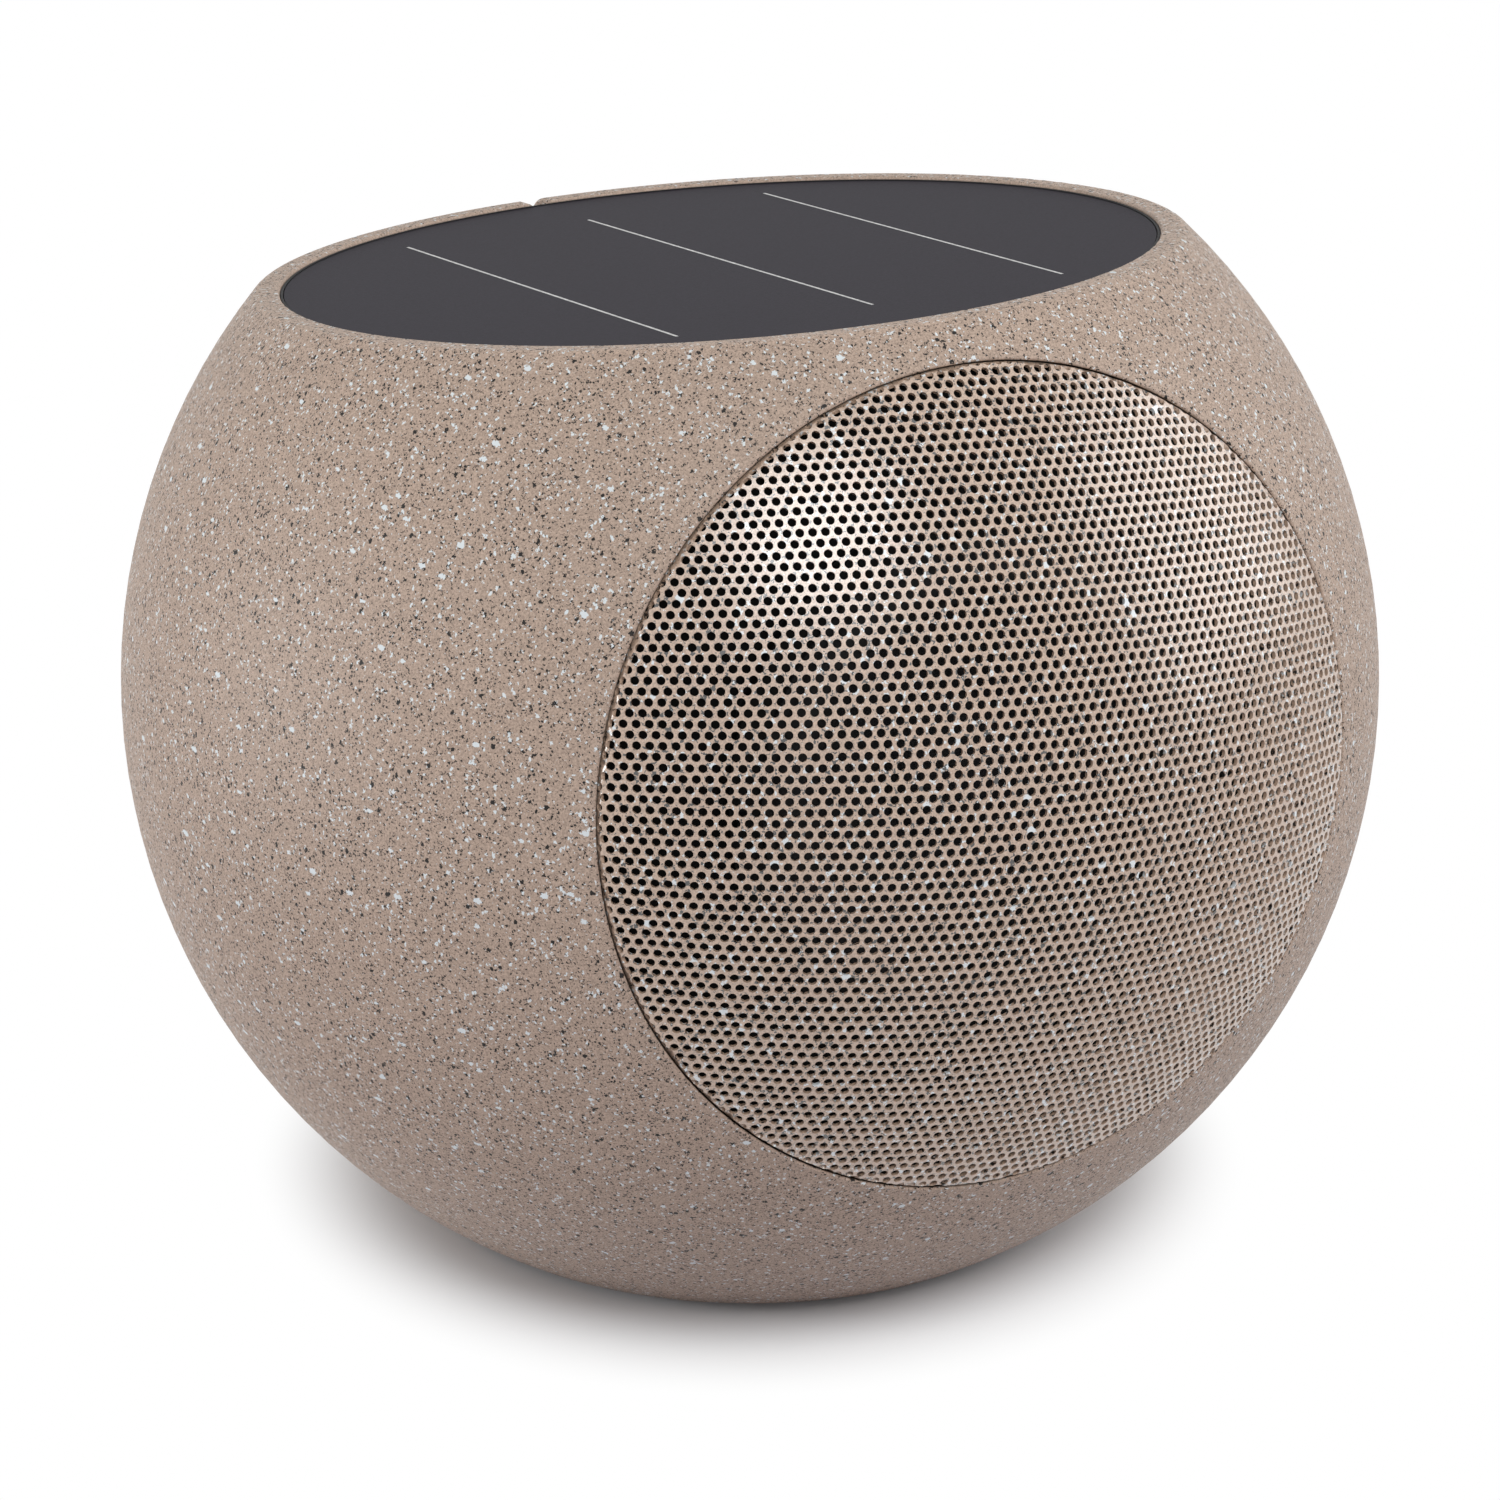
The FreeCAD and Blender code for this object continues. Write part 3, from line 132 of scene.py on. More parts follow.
# The lip round the panel: paler on its top, by height, and almost plain on its inner edge
LIP_START = 0.0904
LIP_FULL = 0.0912
LIP_PALER = (1.10, 1.10, 1.10, 1.0)
LIP_PAST_SEAL = 0.0003
LIP_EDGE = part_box("panel_seal")[1][0] + LIP_PAST_SEAL
LIP_EDGE_FADE = 0.0004
LIP_FLECKS = 0.15

# The solar laminate's grain and the ribbons on it
LAMINATE_DARK = (0.006, 0.004, 0.010, 1)
LAMINATE_PALE = (0.014, 0.011, 0.020, 1)
RIBBON_COLOUR = (0.64, 0.64, 0.63)

# Moulded finishes: colour, roughness, grain and its depth in metres, and gloss
MOULDED = {
    "black_rubber": ((0.014, 0.014, 0.015), 0.7, 0.0005, 0.00004, 0.3),
    "black_plastic": ((0.006, 0.006, 0.006), 0.6, 0.0004, 0.00004, 0.12),
    "base_plastic": ((0.055, 0.050, 0.046), 0.6, 0.0004, 0.00005, 0.5),
    "button_plastic": ((0.13, 0.12, 0.115), 0.45, 0.0004, 0.00002, 0.5),
    "black_steel": ((0.007, 0.007, 0.007), 0.5, 0.0006, 0.00003, 0.15),
    "white_nylon": ((0.68, 0.66, 0.60), 0.4, 0.0008, 0.00002, 0.5),
    "cell_wrap": ((0.03, 0.12, 0.30), 0.3, 0.004, 0.00003, 0.5),
    "ferrite": ((0.045, 0.045, 0.048), 0.6, 0.0006, 0.00005, 0.5),
}

# Plated finishes: colour, roughness and grain in metres
PLATED = {
    "plated_steel": ((0.55, 0.54, 0.52), 0.32, 0.0006),
    "coil_copper": ((0.72, 0.34, 0.16), 0.30, 0.0003),
}
STREAK_TURN = (0, 0, 30)
STREAK_STRETCH = (1.0, 0.12, 1.0)
STREAK_LOW = 0.2
STREAK_HIGH = 0.8
STREAK_SMOOTHER = 0.08
STREAK_ROUGHER = 0.12

# Woven finishes: colour, roughness and width of a thread in metres
WOVEN = {
    "cone_paper": ((0.009, 0.009, 0.010), 0.8, 0.0008),
    "spider_cloth": ((0.42, 0.26, 0.11), 0.85, 0.0007),
}
BETWEEN_THREADS = 0.6
ON_THREADS = 1.1

# The circuit board's green, its copper tracks and the milky light pipe
BOARD_GREEN = (0.012, 0.10, 0.045, 1)
BOARD_GREEN_PALER = (0.014, 0.13, 0.055, 1)
BOARD_TRACK = (0.03, 0.22, 0.09, 1)
LIGHT_PIPE_COLOUR = (0.72, 0.75, 0.73)

# The span of cloudy noise that goes from none to all, and the wave texture's length at scale 1
CLOUD_LOW = 0.3
CLOUD_HIGH = 0.7
WAVE_LENGTH = 0.314


# Small tools for shader trees

def socket_of(sockets, name):
    """The enabled socket of that name: some nodes hold several of one name."""
    return next(socket for socket in sockets if socket.name == name and socket.enabled)


def add(tree, kind, inputs=None, **settings):
    """A shader node with its settings; an input is a number, a colour or another node's output."""
    node = tree.nodes.new("ShaderNode" + kind)
    for name, setting in settings.items():
        setattr(node, name, setting)
    for name, value in (inputs or {}).items():
        target = node.inputs[name] if isinstance(name, int) else socket_of(node.inputs, name)
        if isinstance(value, bpy.types.NodeSocket):
            tree.links.new(value, target)
        else:
            target.default_value = value
    return node


def math_node(tree, operation, *values, clamp=False):
    """The output of one sum of numbers or outputs."""
    node = add(tree, "Math", dict(enumerate(values)), operation=operation, use_clamp=clamp)
    return node.outputs[0]


def any_of(tree, *masks):
    """The largest of several masks."""
    most = masks[0]
    for mask in masks[1:]:
        most = math_node(tree, "MAXIMUM", most, mask)
    return most


def ramp(tree, value, low, high, out_low=0.0, out_high=1.0):
    """A smooth step of an output between two numbers."""
    node = add(tree, "MapRange", {"Value": value, "From Min": low, "From Max": high,
                                  "To Min": out_low, "To Max": out_high},
               interpolation_type="SMOOTHSTEP")
    return node.outputs[0]


def blend_colour(tree, share, first, second, how="MIX"):
    """Two colours mixed by a share."""
    node = add(tree, "Mix", {"Factor": share, "A": first, "B": second},
               data_type="RGBA", blend_type=how, clamp_factor=True)
    return socket_of(node.outputs, "Result")


def blend_shader(tree, share, first, second):
    """Two shader nodes mixed by a share."""
    node = add(tree, "MixShader", {"Fac": share})
    tree.links.new(first.outputs[0], node.inputs[1])
    tree.links.new(second.outputs[0], node.inputs[2])
    return node


def new_finish(name, roughness, metallic=0.0, specular=0.5):
    """A material with its shader and the piece's own coordinates in metres."""
    material = bpy.data.materials.new(name)
    material.use_nodes = True
    tree = material.node_tree
    shader = tree.nodes["Principled BSDF"]
    shader.inputs["Roughness"].default_value = roughness
    shader.inputs["Metallic"].default_value = metallic
    shader.inputs["Specular IOR Level"].default_value = specular
    place = add(tree, "TexCoord").outputs["Object"]
    return material, tree, shader, place


def coloured(tree, shader, colour):
    """The shader's colour from an output."""
    tree.links.new(colour, shader.inputs["Base Color"])


def raised(tree, shader, height, distance):
    """Bump of a height output, in metres at full height."""
    node = add(tree, "Bump", {"Height": height, "Distance": distance, "Strength": 1.0})
    tree.links.new(node.outputs["Normal"], shader.inputs["Normal"])


def noise(tree, place, size, detail=3.0):
    """Cloudy noise whose features are about one size, in metres."""
    node = add(tree, "TexNoise", {"Vector": place, "Scale": 1 / size, "Detail": detail, "Roughness": 0.6})
    return node.outputs["Fac"]


def clouds(tree, place, size, detail=3.0):
    """Cloudy noise drawn out to go from none to all."""
    return ramp(tree, noise(tree, place, size, detail), CLOUD_LOW, CLOUD_HIGH)


def turned_place(tree, place, turn, stretch):
    """Coordinates turned by angles in degrees and stretched."""
    node = add(tree, "Mapping", {"Vector": place, "Rotation": [radians(angle) for angle in turn],
                                 "Scale": stretch})
    return node.outputs["Vector"]


def shade_of(colour, factor):
    """A colour made darker or lighter, with full cover."""
    return tuple(channel * factor for channel in colour) + (1.0,)


def mottle(tree, place, colour, size, depth, detail=3.0):
    """A colour that varies in soft clouds of one size by plus and minus depth."""
    share = clouds(tree, place, size, detail)
    return blend_colour(tree, share, shade_of(colour, 1 - depth), shade_of(colour, 1 + depth))


# The stone look

def flecks(tree, place, cell, small, large, turn, stretch):
    """Scattered chips: one in each cell of a random lattice, between a small and a large share
    of the cell across, turned and drawn out so that they lie every way."""
    drawn = turned_place(tree, place, turn, stretch)
    chips = add(tree, "TexVoronoi", {"Vector": drawn, "Scale": 1 / cell})
    chance = add(tree, "SeparateColor", {"Color": chips.outputs["Color"]}).outputs["Red"]
    rare = math_node(tree, "POWER", chance, 2.0)
    reach = math_node(tree, "MULTIPLY_ADD", rare, large - small, small)
    depth = math_node(tree, "SUBTRACT", reach, chips.outputs["Distance"])
    return math_node(tree, "MULTIPLY", depth, FLECK_CRISPNESS, clamp=True)


def ragged(tree, place, grain):
    """Coordinates scaled by a grain and shaken by fine noise, so that chips have broken edges."""
    scaled = turned_place(tree, place, (0, 0, 0), [1 / grain] * 3)
    shake = add(tree, "TexNoise", {"Vector": scaled, "Scale": 1 / RAGGED_SIZE, "Detail": 1.0})
    centred = add(tree, "VectorMath", {0: shake.outputs["Color"], 1: (0.5, 0.5, 0.5)},
                  operation="SUBTRACT").outputs[0]
    offset = add(tree, "VectorMath", {0: centred, "Scale": RAGGED_SHIFT}, operation="SCALE").outputs[0]
    return add(tree, "VectorMath", {0: scaled, 1: offset}, operation="ADD").outputs[0]


def fleck_layers(tree, place, grain, rows):
    """The flecks of several layers in one mask."""
    broken = ragged(tree, place, grain)
    return any_of(tree, *[flecks(tree, broken, *row) for row in rows])


def own_axes(tree, place):
    """Distances from the ball's middle along its own axes: right, back from the grille and up to
    the panel."""
    own = add(tree, "Mapping", {"Vector": place, "Location": BALL_MIDDLE, "Rotation": (-LEAN, 0, 0)},
              vector_type="TEXTURE").outputs[0]
    return add(tree, "SeparateXYZ", {"Vector": own}).outputs


def near_axis(tree, one, two, reach, fade):
    """1 within a reach of an axis and 0 beyond the fade, from the two distances across it."""
    squares = math_node(tree, "MULTIPLY_ADD", one, one, math_node(tree, "MULTIPLY", two, two))
    return ramp(tree, math_node(tree, "SQRT", squares), reach, reach + fade, 1.0, 0.0)


def on_lip(tree, place):
    """0 on the ball and 1 on the top of the lip round the panel, by height along its axis."""
    return ramp(tree, own_axes(tree, place)["Z"], LIP_START, LIP_FULL)


def on_lip_edge(tree, place):
    """1 on the smooth inner edge of the lip, by distance from the panel's axis, and 0 on the ball."""
    right, back, up = own_axes(tree, place)
    near = near_axis(tree, right, back, LIP_EDGE, LIP_EDGE_FADE)
    return math_node(tree, "MULTIPLY", near, math_node(tree, "GREATER_THAN", up, LIP_START))


def in_joint_shade(tree, place):
    """Mask of painted shade: 1 on the wall of the grille's opening, where shade falls in the gap, by
    distance from the grille's axis, and 0 on the ball.
    """
    right, back, up = own_axes(tree, place)
    near = near_axis(tree, right, up, OPENING_RADIUS, JOINT_SHADE_EDGE)
    return math_node(tree, "MULTIPLY", near, math_node(tree, "LESS_THAN", back, -JOINT_SHADE_IN_FRONT))


def stone_colour(tree, place, colour, chips, dark_grain=1.0, pale_grain=1.0):
    """Warm stone colour with fine mottling, dark specks, larger dark chips and pale slivers, the
    dark and the pale ones each scaled by a grain."""
    base = mottle(tree, place, colour, STONE_CLOUD, STONE_CLOUD_DEPTH, detail=4.0)
    base = blend_colour(tree, on_lip(tree, place), base, LIP_PALER, "MULTIPLY")
    shown = math_node(tree, "MULTIPLY_ADD", on_lip_edge(tree, place), LIP_FLECKS - 1, 1.0)
    dark = fleck_layers(tree, place, dark_grain, DARK_SPECKS + (chips,))
    pale = fleck_layers(tree, place, pale_grain, PALE_SLIVERS)
    specked = blend_colour(tree, math_node(tree, "MULTIPLY", dark, shown), base, DARK_FLECK)
    return blend_colour(tree, math_node(tree, "MULTIPLY", pale, shown), specked, PALE_FLECK)


# Finishes

def sandstone_plastic():
    """Matte moulded stone look with a fine skin, with a dark colour painted as shade in the joint round
    the grille.
    """
    material, tree, shader, place = new_finish("sandstone_plastic", roughness=0.55, specular=0.3)
    stone = stone_colour(tree, place, STONE_COLOUR, PLASTIC_CHIPS)
    # The wall of the grille's opening takes a dark colour as painted shade
    coloured(tree, shader, blend_colour(tree, in_joint_shade(tree, place), stone, JOINT_SHADE_COLOUR))
    raised(tree, shader, noise(tree, place, size=0.0009, detail=4.0), distance=0.00012)
    return material


def sandstone_paint():
    """The same stone look as a satin paint on punched sheet."""
    material, tree, shader, place = new_finish("sandstone_paint", roughness=0.28, specular=1.0)
    shader.inputs["Coat Weight"].default_value = PAINT_COAT
    shader.inputs["Coat Roughness"].default_value = PAINT_COAT_ROUGHNESS
    stone = stone_colour(tree, place, PAINT_COLOUR, PAINT_CHIPS, PAINT_DARK_GRAIN, PAINT_PALE_GRAIN)
    coloured(tree, shader, stone)
    raised(tree, shader, noise(tree, place, size=0.0012), distance=0.00005)
    return material


def panel_laminate():
    """Dark violet-grey solar laminate with a fine grain."""
    material, tree, shader, place = new_finish("panel_laminate", roughness=0.5, specular=0.05)
    grain = clouds(tree, place, size=0.0007)
    coloured(tree, shader, blend_colour(tree, grain, LAMINATE_DARK, LAMINATE_PALE))
    raised(tree, shader, noise(tree, place, size=0.0004, detail=2.0), distance=0.00003)
    return material


def ribbon_metal():
    """Tinned ribbon with a rough drawn surface."""
    material, tree, shader, place = new_finish("ribbon_metal", roughness=0.5, metallic=0.2)
    coloured(tree, shader, mottle(tree, place, RIBBON_COLOUR, size=0.0009, depth=0.25))
    return material


def moulded(name, colour, roughness, grain, depth, specular):
    """Moulded plastic, rubber or coating: slight clouds of colour and a fine grain."""
    material, tree, shader, place = new_finish(name, roughness, specular=specular)
    coloured(tree, shader, mottle(tree, place, colour, size=0.006, depth=0.08))
    raised(tree, shader, noise(tree, place, grain), depth)
    return material


def plated(name, colour, roughness, grain):
    """Metal with a fine drawn grain that also breaks up its gloss."""
    material, tree, shader, place = new_finish(name, roughness, metallic=1.0)
    coloured(tree, shader, mottle(tree, place, colour, size=0.004, depth=0.10))
    streaks = noise(tree, turned_place(tree, place, STREAK_TURN, STREAK_STRETCH), grain, detail=4.0)
    gloss = ramp(tree, streaks, STREAK_LOW, STREAK_HIGH,
                 roughness - STREAK_SMOOTHER, roughness + STREAK_ROUGHER)
    tree.links.new(gloss, shader.inputs["Roughness"])
    return material


def woven(name, colour, roughness, thread):
    """Cloth or felted paper: two crossed sets of threads."""
    material, tree, shader, place = new_finish(name, roughness, specular=0.3)
    waves = [add(tree, "TexWave", {"Vector": place, "Scale": WAVE_LENGTH / thread}, bands_direction=axis)
             for axis in "XZ"]
    threads = any_of(tree, *[wave.outputs["Fac"] for wave in waves])
    coloured(tree, shader, blend_colour(tree, threads, shade_of(colour, BETWEEN_THREADS),
                                        shade_of(colour, ON_THREADS)))
    raised(tree, shader, threads, thread / 4)
    return material


def circuit_board():
    """Green board with paler copper tracks that step between square pads."""
    material, tree, shader, place = new_finish("circuit_board", roughness=0.35)
    tracks = add(tree, "TexBrick", {"Vector": place, "Scale": 160.0, "Mortar Size": 0.03,
                                    "Color1": BOARD_GREEN, "Color2": BOARD_GREEN_PALER,
                                    "Mortar": BOARD_TRACK})
    coloured(tree, shader, tracks.outputs["Color"])
    raised(tree, shader, tracks.outputs["Fac"], distance=0.00004)
    return material


def clear_light():
    """Milky light pipe with a faint inner haze."""
    material, tree, shader, place = new_finish("clear_light", roughness=0.25)
    coloured(tree, shader, mottle(tree, place, LIGHT_PIPE_COLOUR, size=0.001, depth=0.06))
    shader.inputs["Transmission Weight"].default_value = 0.3
    return material


FINISHES = {
    "sandstone_plastic": sandstone_plastic(),
    "sandstone_paint": sandstone_paint(),
    "panel_laminate": panel_laminate(),
    "ribbon_metal": ribbon_metal(),
    "circuit_board": circuit_board(),
    "clear_light": clear_light(),
    **{name: moulded(name, *row) for name, row in MOULDED.items()},
    **{name: plated(name, *row) for name, row in PLATED.items()},
    **{name: woven(name, *row) for name, row in WOVEN.items()},
}


def dress(piece, slot):
    """The finish of a record's slot on all of a piece."""
    piece.data.materials.clear()
    piece.data.materials.append(FINISHES[slot])


def dress_solids():
    """Every CAD piece takes the finish of its own slot."""
    for row in frame["record"]["subparts"]:
        dress(frame["nodes"][row["node"]], row["material_slot"])


# The grille's section: dome, rolled edge and straight flange, as lengths along its outer face

ROLL_OUT = GRILLE_RADIUS - GRILLE_ROLL
ROLL_START = asin(ROLL_OUT / (BALL_RADIUS - GRILLE_ROLL))
ROLL_UP = (BALL_RADIUS - GRILLE_ROLL) * cos(ROLL_START)
DOME_ARC = BALL_RADIUS * ROLL_START
ROLL_ARC = GRILLE_ROLL * (pi / 2 - ROLL_START)
PATTERN_REACH = DOME_ARC + ROLL_ARC + HOLE_RADIUS / 2
BAND_REACH = PATTERN_REACH + HOLE_RADIUS + BAND_PAST_HOLES
FLANGE_REACH = DOME_ARC + ROLL_ARC + GRILLE_FLANGE


def on_profile(arc, depth):
    """Point of the grille's section at an arc from its pole, that deep under the outer face: the
    dome is a circle about the ball's middle, then the edge turns about the roll's own centre, then
    runs straight back. Gives the distance from the axis and the height along it."""
    angle = np.where(arc < DOME_ARC, arc / BALL_RADIUS, ROLL_START + (arc - DOME_ARC) / GRILLE_ROLL)
    angle = np.minimum(angle, pi / 2)
    back = np.maximum(arc - DOME_ARC - ROLL_ARC, 0)
    dome = arc < DOME_ARC
    radius = np.where(dome, BALL_RADIUS, GRILLE_ROLL) - depth
    out = np.where(dome, 0, ROLL_OUT) + radius * np.sin(angle)
    up = np.where(dome, 0, ROLL_UP) + radius * np.cos(angle) - back
    return out, up


def on_grille(flat, depth):
    """A point of the flat pattern laid on the grille: its distance from the middle becomes the arc
    along the section and its direction stays, then the section's axis is turned to the front."""
    arc = np.hypot(flat[:, 0], flat[:, 1])
    turn = np.arctan2(flat[:, 1], flat[:, 0]) + ROW_TURN
    out, up = on_profile(arc, depth)
    side = out * np.cos(turn)
    rise = out * np.sin(turn)
    y = rise * sin(LEAN) - up * cos(LEAN)
    z = rise * cos(LEAN) + up * sin(LEAN)
    return np.column_stack([side, y, z]) + np.array(BALL_MIDDLE)


def circle(steps, first_angle=0.0):
    """Points evenly round a circle of radius 1."""
    angle = first_angle + np.arange(steps) * 2 * pi / steps
    return np.column_stack([np.cos(angle), np.sin(angle)])


def hole_lattice():
    """Staggered rows: hole (row, column) stands at column plus half a row pitches along, and row
    times the pitch's height of an even triangle up. Gives the centres, and each hole's number on
    a grid of rows and columns, or -1 where there is none."""
    reach = 2 * int(PATTERN_REACH / HOLE_PITCH)
    row, column = np.mgrid[-reach:reach + 1, -reach:reach + 1]
    along = (column + row / 2) * HOLE_PITCH
    up = row * HOLE_PITCH * sqrt(3) / 2
    inside = np.hypot(along, up) < PATTERN_REACH
    number = np.full(row.shape, -1)
    number[inside] = np.arange(inside.sum())
    return np.column_stack([along[inside], up[inside]]), number


def around_holes(centres, corners, radius):
    """The corners of every hole: points evenly round each centre, the first one half a step on."""
    ring = radius * circle(corners, pi / corners)
    return (centres[:, None, :] + ring[None, :, :]).reshape(-1, 2)


def neighbours(number):
    """For each hole its own number and those of its neighbours to the right, up right and up left."""
    padded = np.pad(number, 1, constant_values=-1)
    here = padded[1:-1, 1:-1].ravel()
    right = padded[1:-1, 2:].ravel()
    up_right = padded[2:, 1:-1].ravel()
    up_left = padded[2:, :-2].ravel()
    found = here >= 0
    return here[found], right[found], up_right[found], up_left[found]


def between(corners, *members):
    """One face for each group of holes that are all there: members are pairs of the holes' numbers
    and which of their corners the face takes, in turn."""
    there = np.all([numbers >= 0 for numbers, corner in members], axis=0)
    return np.column_stack([(numbers * corners + corner)[there] for numbers, corner in members])


def front_faces(number):
    """The sheet between the holes from outside: a four-sided face between each two neighbours and
    a six-sided one between each three. Corners count anticlockwise from the right."""
    a, b, c, d = neighbours(number)
    n = FRONT_CORNERS
    fours = [between(n, (a, 11), (b, 6), (b, 5), (a, 0)),
             between(n, (a, 1), (c, 8), (c, 7), (a, 2)),
             between(n, (a, 3), (d, 10), (d, 9), (a, 4))]
    sixes = [between(n, (a, 1), (a, 0), (b, 5), (b, 4), (c, 9), (c, 8)),
             between(n, (a, 3), (a, 2), (c, 7), (c, 6), (d, 11), (d, 10))]
    return np.vstack(fours), np.vstack(sixes)


def back_faces(number):
    """The sheet between the holes from inside, with six corners to a hole: a four-sided face
    between each two neighbours and a triangle between each three."""
    a, b, c, d = neighbours(number)
    n = BACK_CORNERS
    fours = [between(n, (a, 0), (b, 2), (b, 3), (a, 5)),
             between(n, (a, 1), (c, 3), (c, 4), (a, 0)),
             between(n, (a, 2), (d, 4), (d, 5), (a, 1))]
    threes = [between(n, (a, 0), (c, 4), (b, 2)),
              between(n, (a, 1), (d, 5), (c, 3))]
    return np.vstack(fours), np.vstack(threes)


def hole_walls(count, back_start):
    """The wall of every hole: each two front corners lead to one back corner."""
    hole = np.arange(count)[:, None]
    step = np.arange(BACK_CORNERS)[None, :]
    front = hole * FRONT_CORNERS
    back = back_start + hole * BACK_CORNERS
    first = front + 2 * step
    second = front + 2 * step + 1
    third = front + (2 * step + 2) % FRONT_CORNERS
    low = back + step
    low_next = back + (step + 1) % BACK_CORNERS
    threes = np.stack([first, second, low], axis=-1).reshape(-1, 3)
    fours = np.stack([second, third, low_next, low], axis=-1).reshape(-1, 4)
    return threes, fours


def open_edges(faces):
    """The edges that only one of the faces has."""
    pairs = np.vstack([np.column_stack([block[:, k], block[:, (k + 1) % block.shape[1]]])
                       for block in faces for k in range(block.shape[1])])
    edges, counts = np.unique(np.sort(pairs, axis=1), axis=0, return_counts=True)
    return edges[counts == 1]


def fill_band(flat, edges):
    """Triangles between the pattern's ragged border and the round one outside it."""
    used, compact = np.unique(edges, return_inverse=True)
    mesh = bpy.data.meshes.new("band")
    corners = np.column_stack([flat[used], np.zeros(len(used))])
    mesh.from_pydata(corners.tolist(), compact.reshape(-1, 2).tolist(), [])
    work = bmesh.new()
    work.from_mesh(mesh)
    bmesh.ops.triangle_fill(work, use_beauty=True, edges=work.edges, normal=(0, 0, 1))
    work.to_mesh(mesh)
    work.free()
    triangles = np.zeros(len(mesh.polygons) * 3, int)
    mesh.polygons.foreach_get("vertices", triangles)
    bpy.data.meshes.remove(mesh)
    return used[triangles.reshape(-1, 3)]


def facing_up(flat, triangles):
    """Triangles of the flat pattern in the order that faces outwards."""
    first, second, third = (flat[triangles[:, k]] for k in range(3))
    one = second - first
    two = third - first
    wrong = one[:, 0] * two[:, 1] < one[:, 1] * two[:, 0]
    triangles[wrong] = triangles[wrong][:, ::-1]
    return triangles


def ring_edges(start, count):
    """The edges of a closed ring of numbered points."""
    step = np.arange(count)
    return start + np.column_stack([step, (step + 1) % count])


def ring_faces(start, rings, count):
    """Four-sided faces between rings of points that follow each other in number."""
    ring, step = np.mgrid[0:rings - 1, 0:count]
    here = start + ring * count + step
    beside = start + ring * count + (step + 1) % count
    return np.stack([here, here + count, beside + count, beside], axis=-1).reshape(-1, 4)


def rim_section():
    """The straight edge's section as arcs and depths: down the outside, under, and up the inside."""
    outside = np.array([BAND_REACH, FLANGE_REACH])
    arc = np.concatenate([outside, outside[::-1]])
    depth = np.repeat([0.0, GRILLE_SHEET], len(outside))
    return arc, depth


def make_grille():
    """Domed punched sheet: holes in staggered rows on a flat pattern that is laid on the dome and
    over its rolled edge, each hole open through the sheet."""
    centres, number = hole_lattice()
    front = around_holes(centres, FRONT_CORNERS, HOLE_RADIUS)
    back = around_holes(centres, BACK_CORNERS, BACK_HOLE_RADIUS)
    arcs, depths = rim_section()
    rim = (arcs[:, None, None] * circle(EDGE_STEPS)[None, :, :]).reshape(-1, 2)
    flat = np.vstack([front, back, rim])
    depth = np.concatenate([np.zeros(len(front)), np.full(len(back), GRILLE_SHEET),
                            np.repeat(depths, EDGE_STEPS)])
    back_start = len(front)
    rim_start = back_start + len(back)
    last_ring = rim_start + (len(arcs) - 1) * EDGE_STEPS

    front_fours, front_sixes = front_faces(number)
    back_fours, back_threes = (block + back_start for block in back_faces(number))
    wall_threes, wall_fours = hole_walls(len(centres), back_start)
    front_holes = np.arange(len(front)).reshape(-1, FRONT_CORNERS)
    back_holes = back_start + np.arange(len(back)).reshape(-1, BACK_CORNERS)
    front_border = open_edges([front_fours, front_sixes, front_holes])
    back_border = open_edges([back_fours, back_threes, back_holes])
    front_band = fill_band(flat, np.vstack([front_border, ring_edges(rim_start, EDGE_STEPS)]))
    back_band = fill_band(flat, np.vstack([back_border, ring_edges(last_ring, EDGE_STEPS)]))
    faces = [front_fours, front_sixes, facing_up(flat, front_band), facing_up(flat, back_band)[:, ::-1],
             back_fours, back_threes, wall_threes, wall_fours,
             ring_faces(rim_start, len(arcs), EDGE_STEPS)]
    piece = new_piece("punched_grille", on_grille(flat, depth), faces, "sandstone_paint")
    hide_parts("grille")


def new_piece(name, points, face_blocks, slot, body="housing"):
    """A mesh from points and blocks of faces, smooth but for its sharp edges, on its body."""
    mesh = bpy.data.meshes.new(name)
    faces = [face for block in face_blocks for face in block.tolist()]
    mesh.from_pydata(points.tolist(), [], faces)
    mesh.shade_smooth()
    mesh.set_sharp_from_angle(angle=SHARP_EDGE)
    piece = bpy.data.objects.new(name, mesh)
    bpy.context.scene.collection.objects.link(piece)
    dress(piece, slot)
    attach(piece, body)
    return piece


# Stage

def looked_at(tree):
    """1 for the rays that show a thing: straight, in a gloss or through glass."""
    path = add(tree, "LightPath").outputs
    return any_of(tree, path["Is Camera Ray"], path["Is Glossy Ray"], path["Is Transmission Ray"])


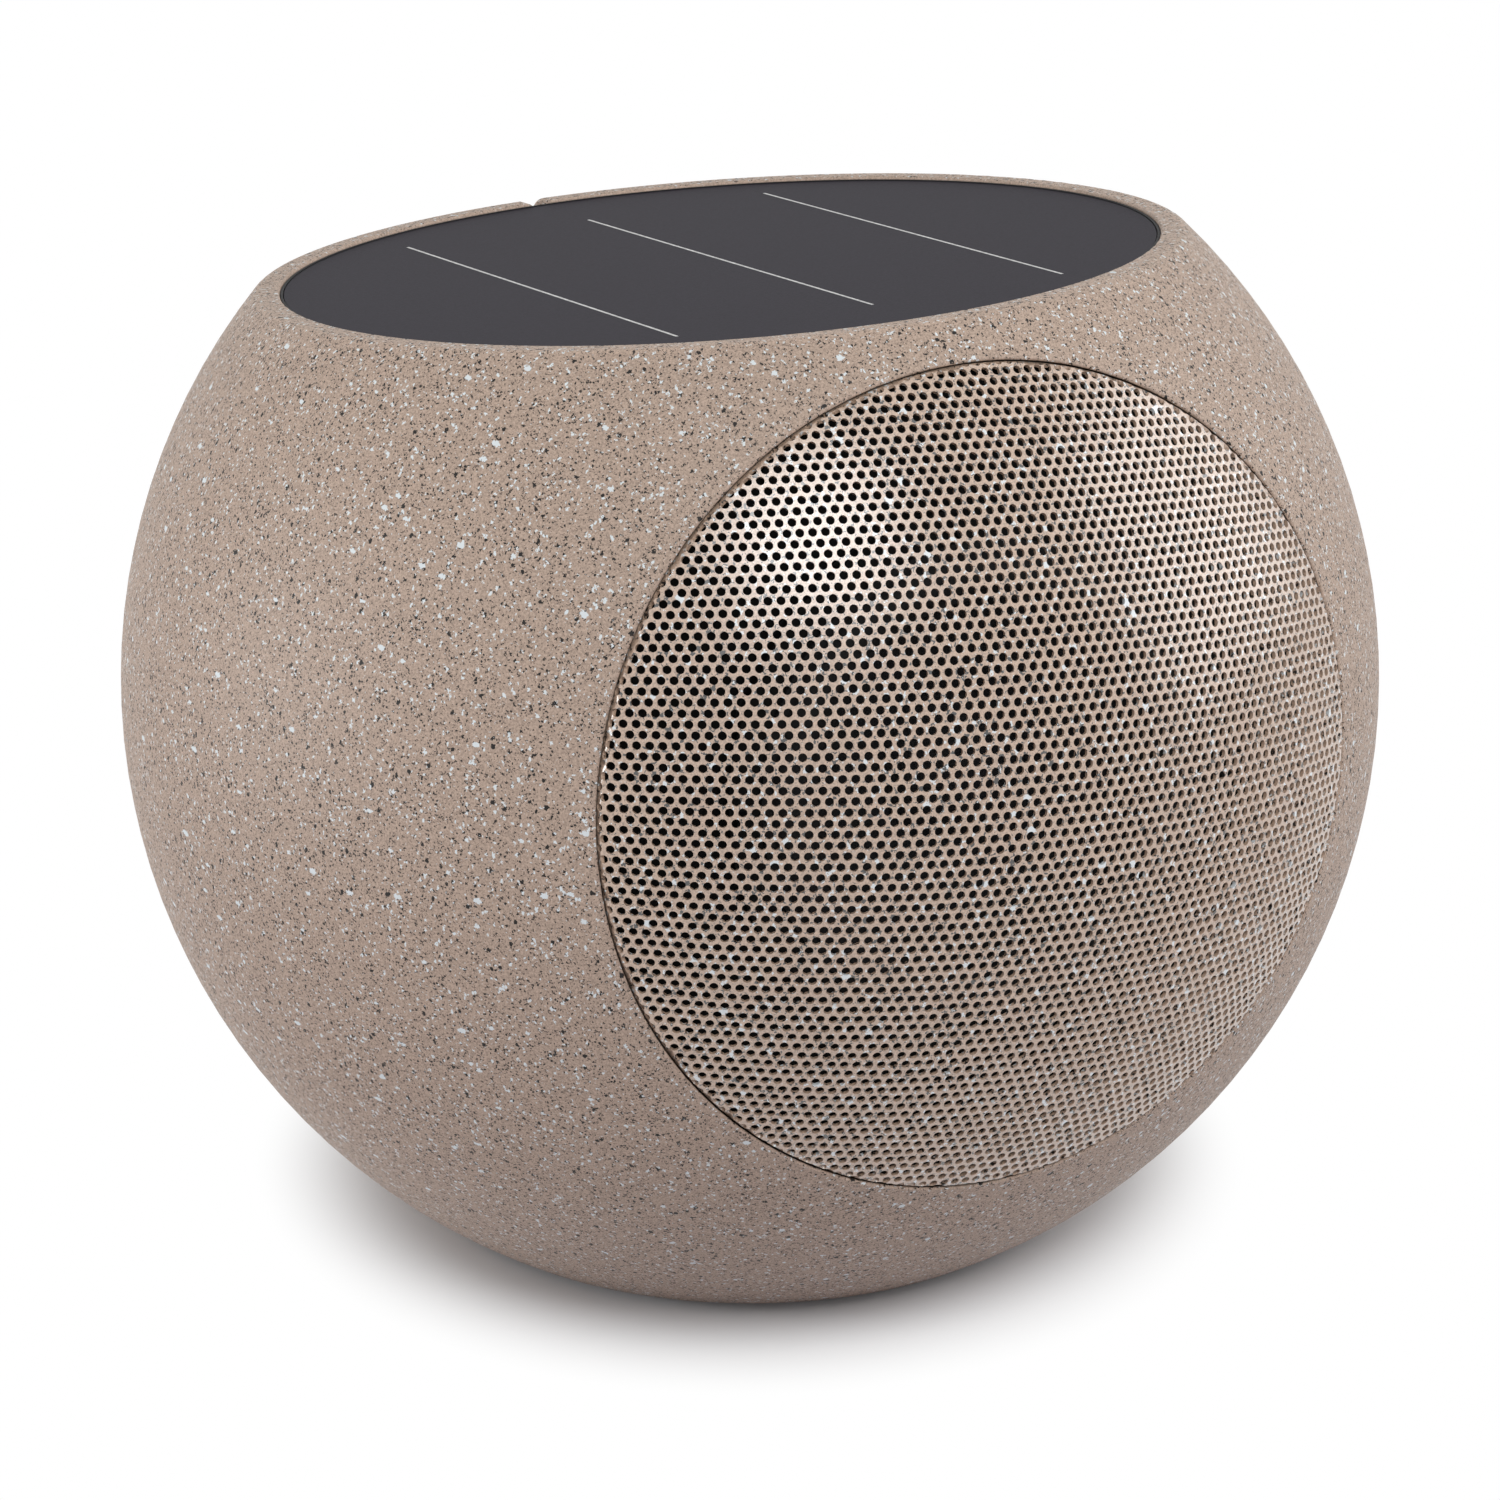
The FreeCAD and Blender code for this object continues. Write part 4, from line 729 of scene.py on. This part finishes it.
def floor_finish():
    """Pale floor that is plain white far from the ball where it is seen, and clear from below."""
    material, tree, shader, place = new_finish("floor", roughness=0.9, specular=0.0)
    seen = looked_at(tree)
    coloured(tree, shader, blend_colour(tree, seen, FLOOR_BOUNCE, FLOOR_SEEN))
    distance = add(tree, "VectorMath", {0: place}, operation="LENGTH").outputs["Value"]
    far = ramp(tree, distance, WHITE_FROM, WHITE_TO)
    white = add(tree, "Emission", {"Color": WHITE, "Strength": 1.0})
    pale = blend_shader(tree, math_node(tree, "MULTIPLY", far, seen), shader, white)
    below = add(tree, "NewGeometry").outputs["Backfacing"]
    clear = blend_shader(tree, below, pale, add(tree, "BsdfTransparent"))
    tree.links.new(clear.outputs[0], tree.nodes["Material Output"].inputs["Surface"])
    return material


def make_floor():
    """A flat ring from the foot outwards. It is open inside the foot, so that the underside can be
    looked at."""
    foot_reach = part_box("foot_ring")[1][0] + FOOT_CLEARANCE
    flat = np.vstack([reach * circle(FLOOR_STEPS) for reach in (foot_reach, FLOOR_REACH)])
    points = np.column_stack([flat, np.zeros(len(flat))])
    mesh = bpy.data.meshes.new("floor")
    mesh.from_pydata(points.tolist(), [], ring_faces(0, 2, FLOOR_STEPS).tolist())
    mesh.materials.append(floor_finish())
    floor = bpy.data.objects.new("floor", mesh)
    bpy.context.scene.collection.objects.link(floor)


def make_world():
    """Even white surroundings that are full white where they are seen."""
    world = bpy.data.worlds.new("studio")
    bpy.context.scene.world = world
    world.use_nodes = True
    tree = world.node_tree
    surround = tree.nodes["Background"]
    surround.inputs["Color"].default_value = WHITE
    strength = math_node(tree, "MULTIPLY_ADD", looked_at(tree), 1 - SURROUND, SURROUND)
    tree.links.new(strength, surround.inputs["Strength"])


def place_facing(name, content, place, aim):
    """An object for a lamp or a camera at a place, turned to look at a point."""
    holder = bpy.data.objects.new(name, content)
    holder.location = place
    holder.rotation_mode = "QUATERNION"
    holder.rotation_quaternion = (aim - place).to_track_quat("-Z", "Y")
    bpy.context.scene.collection.objects.link(holder)
    return holder


def make_lamps():
    """Square soft lamps that face the ball's middle."""
    for name, (from_middle, width, power) in LAMPS.items():
        lamp = bpy.data.lights.new(name, "AREA")
        lamp.size = width
        lamp.energy = power
        place_facing(name, lamp, BALL_MIDDLE + Vector(from_middle), BALL_MIDDLE)


def make_camera():
    """The photograph's view: from the front left, a little above."""
    lens = bpy.data.cameras.new("camera")
    lens.lens = FOCAL_LENGTH_MM
    lens.sensor_width = SENSOR_MM
    bpy.context.scene.camera = place_facing("camera", lens, BALL_MIDDLE + CAMERA_FROM_MIDDLE, CAMERA_AIM)


dress_solids()
make_grille()
make_floor()
make_world()
make_lamps()
make_camera()
bpy.context.scene.view_settings.view_transform = "Standard"
